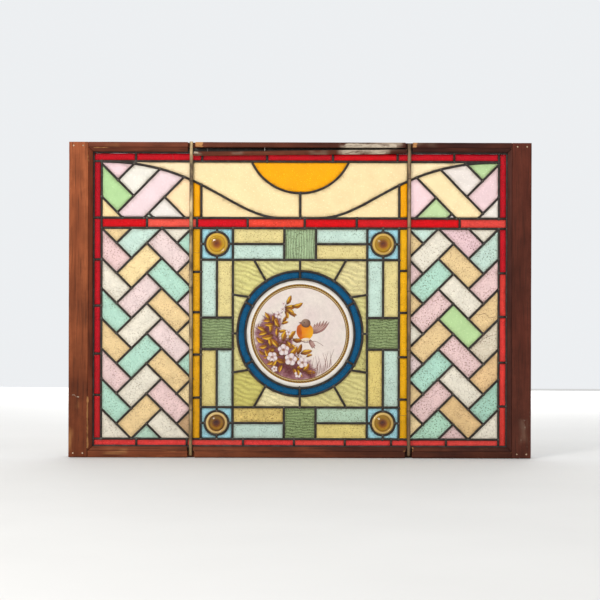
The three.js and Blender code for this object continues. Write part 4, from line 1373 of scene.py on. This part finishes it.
def curve_through(points, steps):
    """A smooth curve through points, as a Catmull-Rom spline."""
    padded = [points[0], *points, points[-1]]
    curve = []
    for a, b, c, d in zip(padded, padded[1:], padded[2:], padded[3:]):
        for t in (i / steps for i in range(steps)):
            curve.append(tuple(0.5 * (2 * q + (r - p) * t + (2 * p - 5 * q + 4 * r - s) * t * t
                                      + (3 * q - p - 3 * r + s) * t**3) for p, q, r, s in zip(a, b, c, d)))
    return [*curve, tuple(points[-1])]


def paint_rope(art):
    """The gold rope border: a line, and a cord of slanting strands outside it."""
    gold, dark, pale = linear((136, 94, 12)), linear((84, 52, 6)), linear((180, 136, 44))
    gap = linear((228, 210, 166))
    for inner, outer, tone in ((101.6, 103.7, gold), (103.7, 104.7, gap), (104.7, 109.4, gold)):
        edges = zip(circle(0, 0, inner, 180), circle(0, 0, outer, 180))
        art.stroke([[(*one, tone), (*other, tone)] for one, other in edges], along=True)
    for k in range(110):
        start = 2 * math.pi * k / 110
        for offset, tone in ((0, dark), (0.028, pale)):
            ends = [(104.9, start + offset), (109.2, start + offset + 0.04)]
            art.stroke([[(*turned(0, 0, r, 0, angle + d), tone) for d in (0, 0.013)] for r, angle in ends])


# Branches of the spray: points, width, leaves, length of a leaf
BRANCHES = [
    ([(-28, -62), (-46, -70), (-62, -72)], 1.6, 4, 25), ([(-20, -74), (-2, -82), (12, -84)], 1.6, 4, 22),
    ([(-42, -32), (-62, -30), (-78, -20)], 1.8, 4, 26), ([(-38, -46), (-62, -54), (-76, -46)], 1.6, 4, 24),
    ([(-48, -10), (-64, 0), (-76, 6)], 1.8, 4, 25), ([(-50, 12), (-60, 24), (-66, 32)], 1.5, 4, 19),
    ([(-50, 2), (-44, 16), (-38, 26)], 1.5, 3, 18), ([(-46, -22), (-32, -16), (-16, -14)], 1.6, 4, 24),
    ([(-36, -46), (-16, -48), (2, -44)], 1.6, 4, 24), ([(-34, 56), (-30, 62), (-29, 64)], 1.2, 1, 26),
    ([(-36, 54), (-24, 58), (-18, 60)], 1.2, 1, 27), ([(-34, 50), (-28, 48), (-25, 47)], 1.1, 1, 19),
]
STEM = [(-6, -97), (-20, -72), (-38, -46), (-48, -18), (-51, 10), (-44, 36), (-36, 54), (-30, 66)]
PERCH = [(-46, -26), (-32, -12), (-10, -12), (12, -19), (34, -17), (52, -27)]
# Flowers: x, z, size, turn; and single leaves: x, z, length, angle
FLOWERS = [(-36, -36, 13, 20), (-61, -52, 12, 50), (-20, -57, 14, 5), (6, -64, 12, 34), (-25, 3, 7, 10),
           (-47, 42, 9, 64), (-4, -90, 8, 12), (-38, 54, 5.5, 40), (-36, 66, 4.5, 10), (-56, -78, 7, 30)]
LEAVES = [(-58, -60, 18, 205), (-8, -78, 16, -70), (14, -52, 15, 20), (-22, -24, 15, -40)]
SHADOW_STROKES, GRASS_BLADES = 340, 13


def paint_shadows(art):
    """Short dark strokes all over the foliage."""
    for i in range(SHADOW_STROKES):
        cx, cz, radius = FOLIAGE[dice.randrange(len(FOLIAGE))]
        angle, reach = dice.uniform(0, 2 * math.pi), radius * math.sqrt(dice.random()) * 1.08
        x, z = turned(cx, cz, reach, 0, angle)
        if math.hypot(x, z) > 95:
            continue
        lean, length = dice.uniform(0, math.pi), dice.uniform(5, 12)
        dx, dz = length * math.cos(lean), length * math.sin(lean)
        tone = blend(MAUVE, PLUM, dice.random()) if dice.random() < 0.6 else LEAF_BROWN
        art.line([(x, z), (x + dx * 0.5 - dz * 0.1, z + dz * 0.5 + dx * 0.1), (x + dx, z + dz)],
                 dice.uniform(0.7, 1.5), tone)


def paint_plants(art):
    paint_shadows(art)
    brown, twig, straw = linear((112, 66, 60)), linear((140, 100, 88)), linear((138, 88, 80))
    art.line(STEM, 3.4, brown)
    art.line(PERCH, 2.6, twig)
    for path, width, leaves, size in BRANCHES:
        art.branch(path, width, brown, leaves, size)
    for x, z, size, turn in FLOWERS:
        art.blossom(x, z, size, turn)
    for x, z, length, angle in LEAVES:
        art.leaf(x, z, length, length * 0.42, angle)
    for i in range(GRASS_BLADES):
        foot = 26 + i * 3.6
        lean, height = dice.uniform(-10, 12), dice.uniform(14, 44)
        base = 2 - math.sqrt(100**2 - foot**2)
        blade = [(foot, base), (foot + lean * 0.3, base + height * 0.5), (foot + lean, base + height)]
        art.line(blade, 1.3, straw)


def paint_bird(art):
    """A small songbird, seen from the side, with one wing lifted."""
    wing, dark, pale = linear((160, 112, 104)), linear((112, 72, 66)), linear((196, 158, 148))
    for angle, length in ((66, 24), (58, 30), (51, 36), (44, 43), (38, 48), (32, 50)):
        art.leaf(23, 0, length, 7.5, angle, dark, pale, wing, bend=-0.12)
    for angle, length in ((-48, 22), (-58, 25), (-68, 23)):
        art.leaf(20, -12, length, 6, angle, dark, pale, wing, bend=0)
    art.blob(11, 5, 37, 39, 12, linear((240, 144, 12)), linear((196, 86, 16)), light=(0.7, -0.5),
             glow=linear((252, 190, 30)))
    art.blob(-1, 5, 11, 27, 10, linear((186, 82, 26)), linear((214, 108, 18)))
    art.leaf(5.5, 23.5, 8, 3.6, 176, dark, dark, dark, bend=0)
    art.blob(13, 23, 21, 19, -8, linear((142, 106, 88)), linear((88, 58, 48)), glow=linear((182, 152, 130)))
    art.blob(9.5, 24.5, 2.6, 2.6, 0, linear((30, 20, 18)), linear((60, 40, 34)), glow=linear((120, 110, 104)))
    art.blob(13, -13, 20, 7, 4, linear((240, 226, 206)), linear((226, 190, 140)))
    for x in (9, 16):
        art.line([(x, -15), (x + 0.6, -20.5)], 1.2, dark)


def lay_painting():
    art = Painting()
    paint_rope(art)
    paint_plants(art)
    paint_bird(art)
    art.build("enamel_painting", ENAMEL, "painted_glass")


# ---- Cracks across panes, as points in the window's own plane ----

CRACKS = [
    [(-283, 653.5), (-281, 660), (-284, 670)], [(219.5, 93), (229, 92.4), (238, 93.4)],
    [(381, 320), (395, 315), (408, 318), (420, 309), (434, 313)],
    [(383, 250), (398, 256), (412, 266), (434, 272)], [(-219, 452), (-228, 450.5), (-238, 453)],
]


def lay_cracks():
    cracks = Surface()
    for points in CRACKS:
        rows = []
        for (x, z), (along_x, along_z) in headings(curve_through(points, 6)):
            half = 0.35 * (1 + 0.4 * ripple(x, z, 3, 2))
            rows.append([cracks.add(x - along_z * half * side, GLASS_FRONT - rise,
                                    z + along_x * half * side, linear((70, 44, 34)))
                         for side, rise in ((-1, 0.02), (0, 0.12), (1, 0.02))])
        cracks.join(rows)
    cracks.build("glass_cracks", ENAMEL, "lead")


# ---- Stage, light and camera, in metres ----

FLOOR_SIDE, FLOOR_BACK, FLOOR_LEVEL = 6.0, 2.9, -0.001
LENS, SENSOR, SHARE_OF_PICTURE = 100, 36, 0.771  # the window fills this share of the picture's width
CAMERA_ROLL = -0.17


def lay_stage():
    mesh = bpy.data.meshes.new("floor")
    corners = rectangle(-FLOOR_SIDE, -FLOOR_SIDE, FLOOR_SIDE, FLOOR_BACK)
    mesh.from_pydata([(x, y, FLOOR_LEVEL) for x, y in corners], [], [(0, 1, 2, 3)])
    finish = Finish("pale_floor")
    pale = finish.mix(finish.noise(3, 3), (0.72, 0.71, 0.69, 1), (0.78, 0.77, 0.75, 1))
    finish.set(Base_Color=pale, Roughness=0.9)
    mesh.materials.append(finish.material)
    stage = bpy.data.objects.new("floor", mesh)
    bpy.context.scene.collection.objects.link(stage)


def light(name, place_at, look_at, size, power, colour=(1, 1, 1)):
    lamp = bpy.data.lights.new(name, "AREA")
    lamp.size, lamp.energy, lamp.color = size, power, colour
    body = bpy.data.objects.new(name, lamp)
    body.location = place_at
    body.rotation_euler = (Vector(look_at) - Vector(place_at)).to_track_quat("-Z", "Y").to_euler()
    bpy.context.scene.collection.objects.link(body)


def lay_light_and_camera():
    """A pale surround, a key lamp at the front left and a wide lamp behind, so that the glass glows."""
    scene = bpy.context.scene
    centre_z = (cad_box[0][2] + cad_box[1][2]) / 2
    world = bpy.data.worlds.new("studio")
    world.use_nodes = True
    world.node_tree.nodes["Background"].inputs["Color"].default_value = (0.92, 0.94, 0.96, 1)
    world.node_tree.nodes["Background"].inputs["Strength"].default_value = 0.92
    scene.world = world
    light("key", (-1.6, -2.6, 2.0), (0, 0, centre_z), 0.8, 42, (1, 0.97, 0.93))
    light("behind", (0.2, 2.8, 0.35), (0, 0, centre_z), 3.0, 64)
    scene.view_settings.view_transform = "Standard"
    distance = (cad_box[1][0] - cad_box[0][0]) / SHARE_OF_PICTURE * LENS / SENSOR
    camera = bpy.data.cameras.new("camera")
    camera.lens, camera.sensor_width, camera.clip_end = LENS, SENSOR, 50
    body = bpy.data.objects.new("camera", camera)
    body.location = (0, cad_box[0][1] - distance, centre_z)
    body.rotation_euler = (math.radians(90), math.radians(CAMERA_ROLL), 0)
    scene.collection.objects.link(body)
    scene.camera = body


lay_light_and_camera()
lay_stage()
lay_border()
lay_side_fields()
lay_upper_band()
lay_amber_strips()
lay_centre()
lay_jewel_squares()
lay_jewels()
lay_lead()
lay_roundel()
lay_painting()
lay_cracks()
lay_woodwork()
lay_bars()
lay_nails()
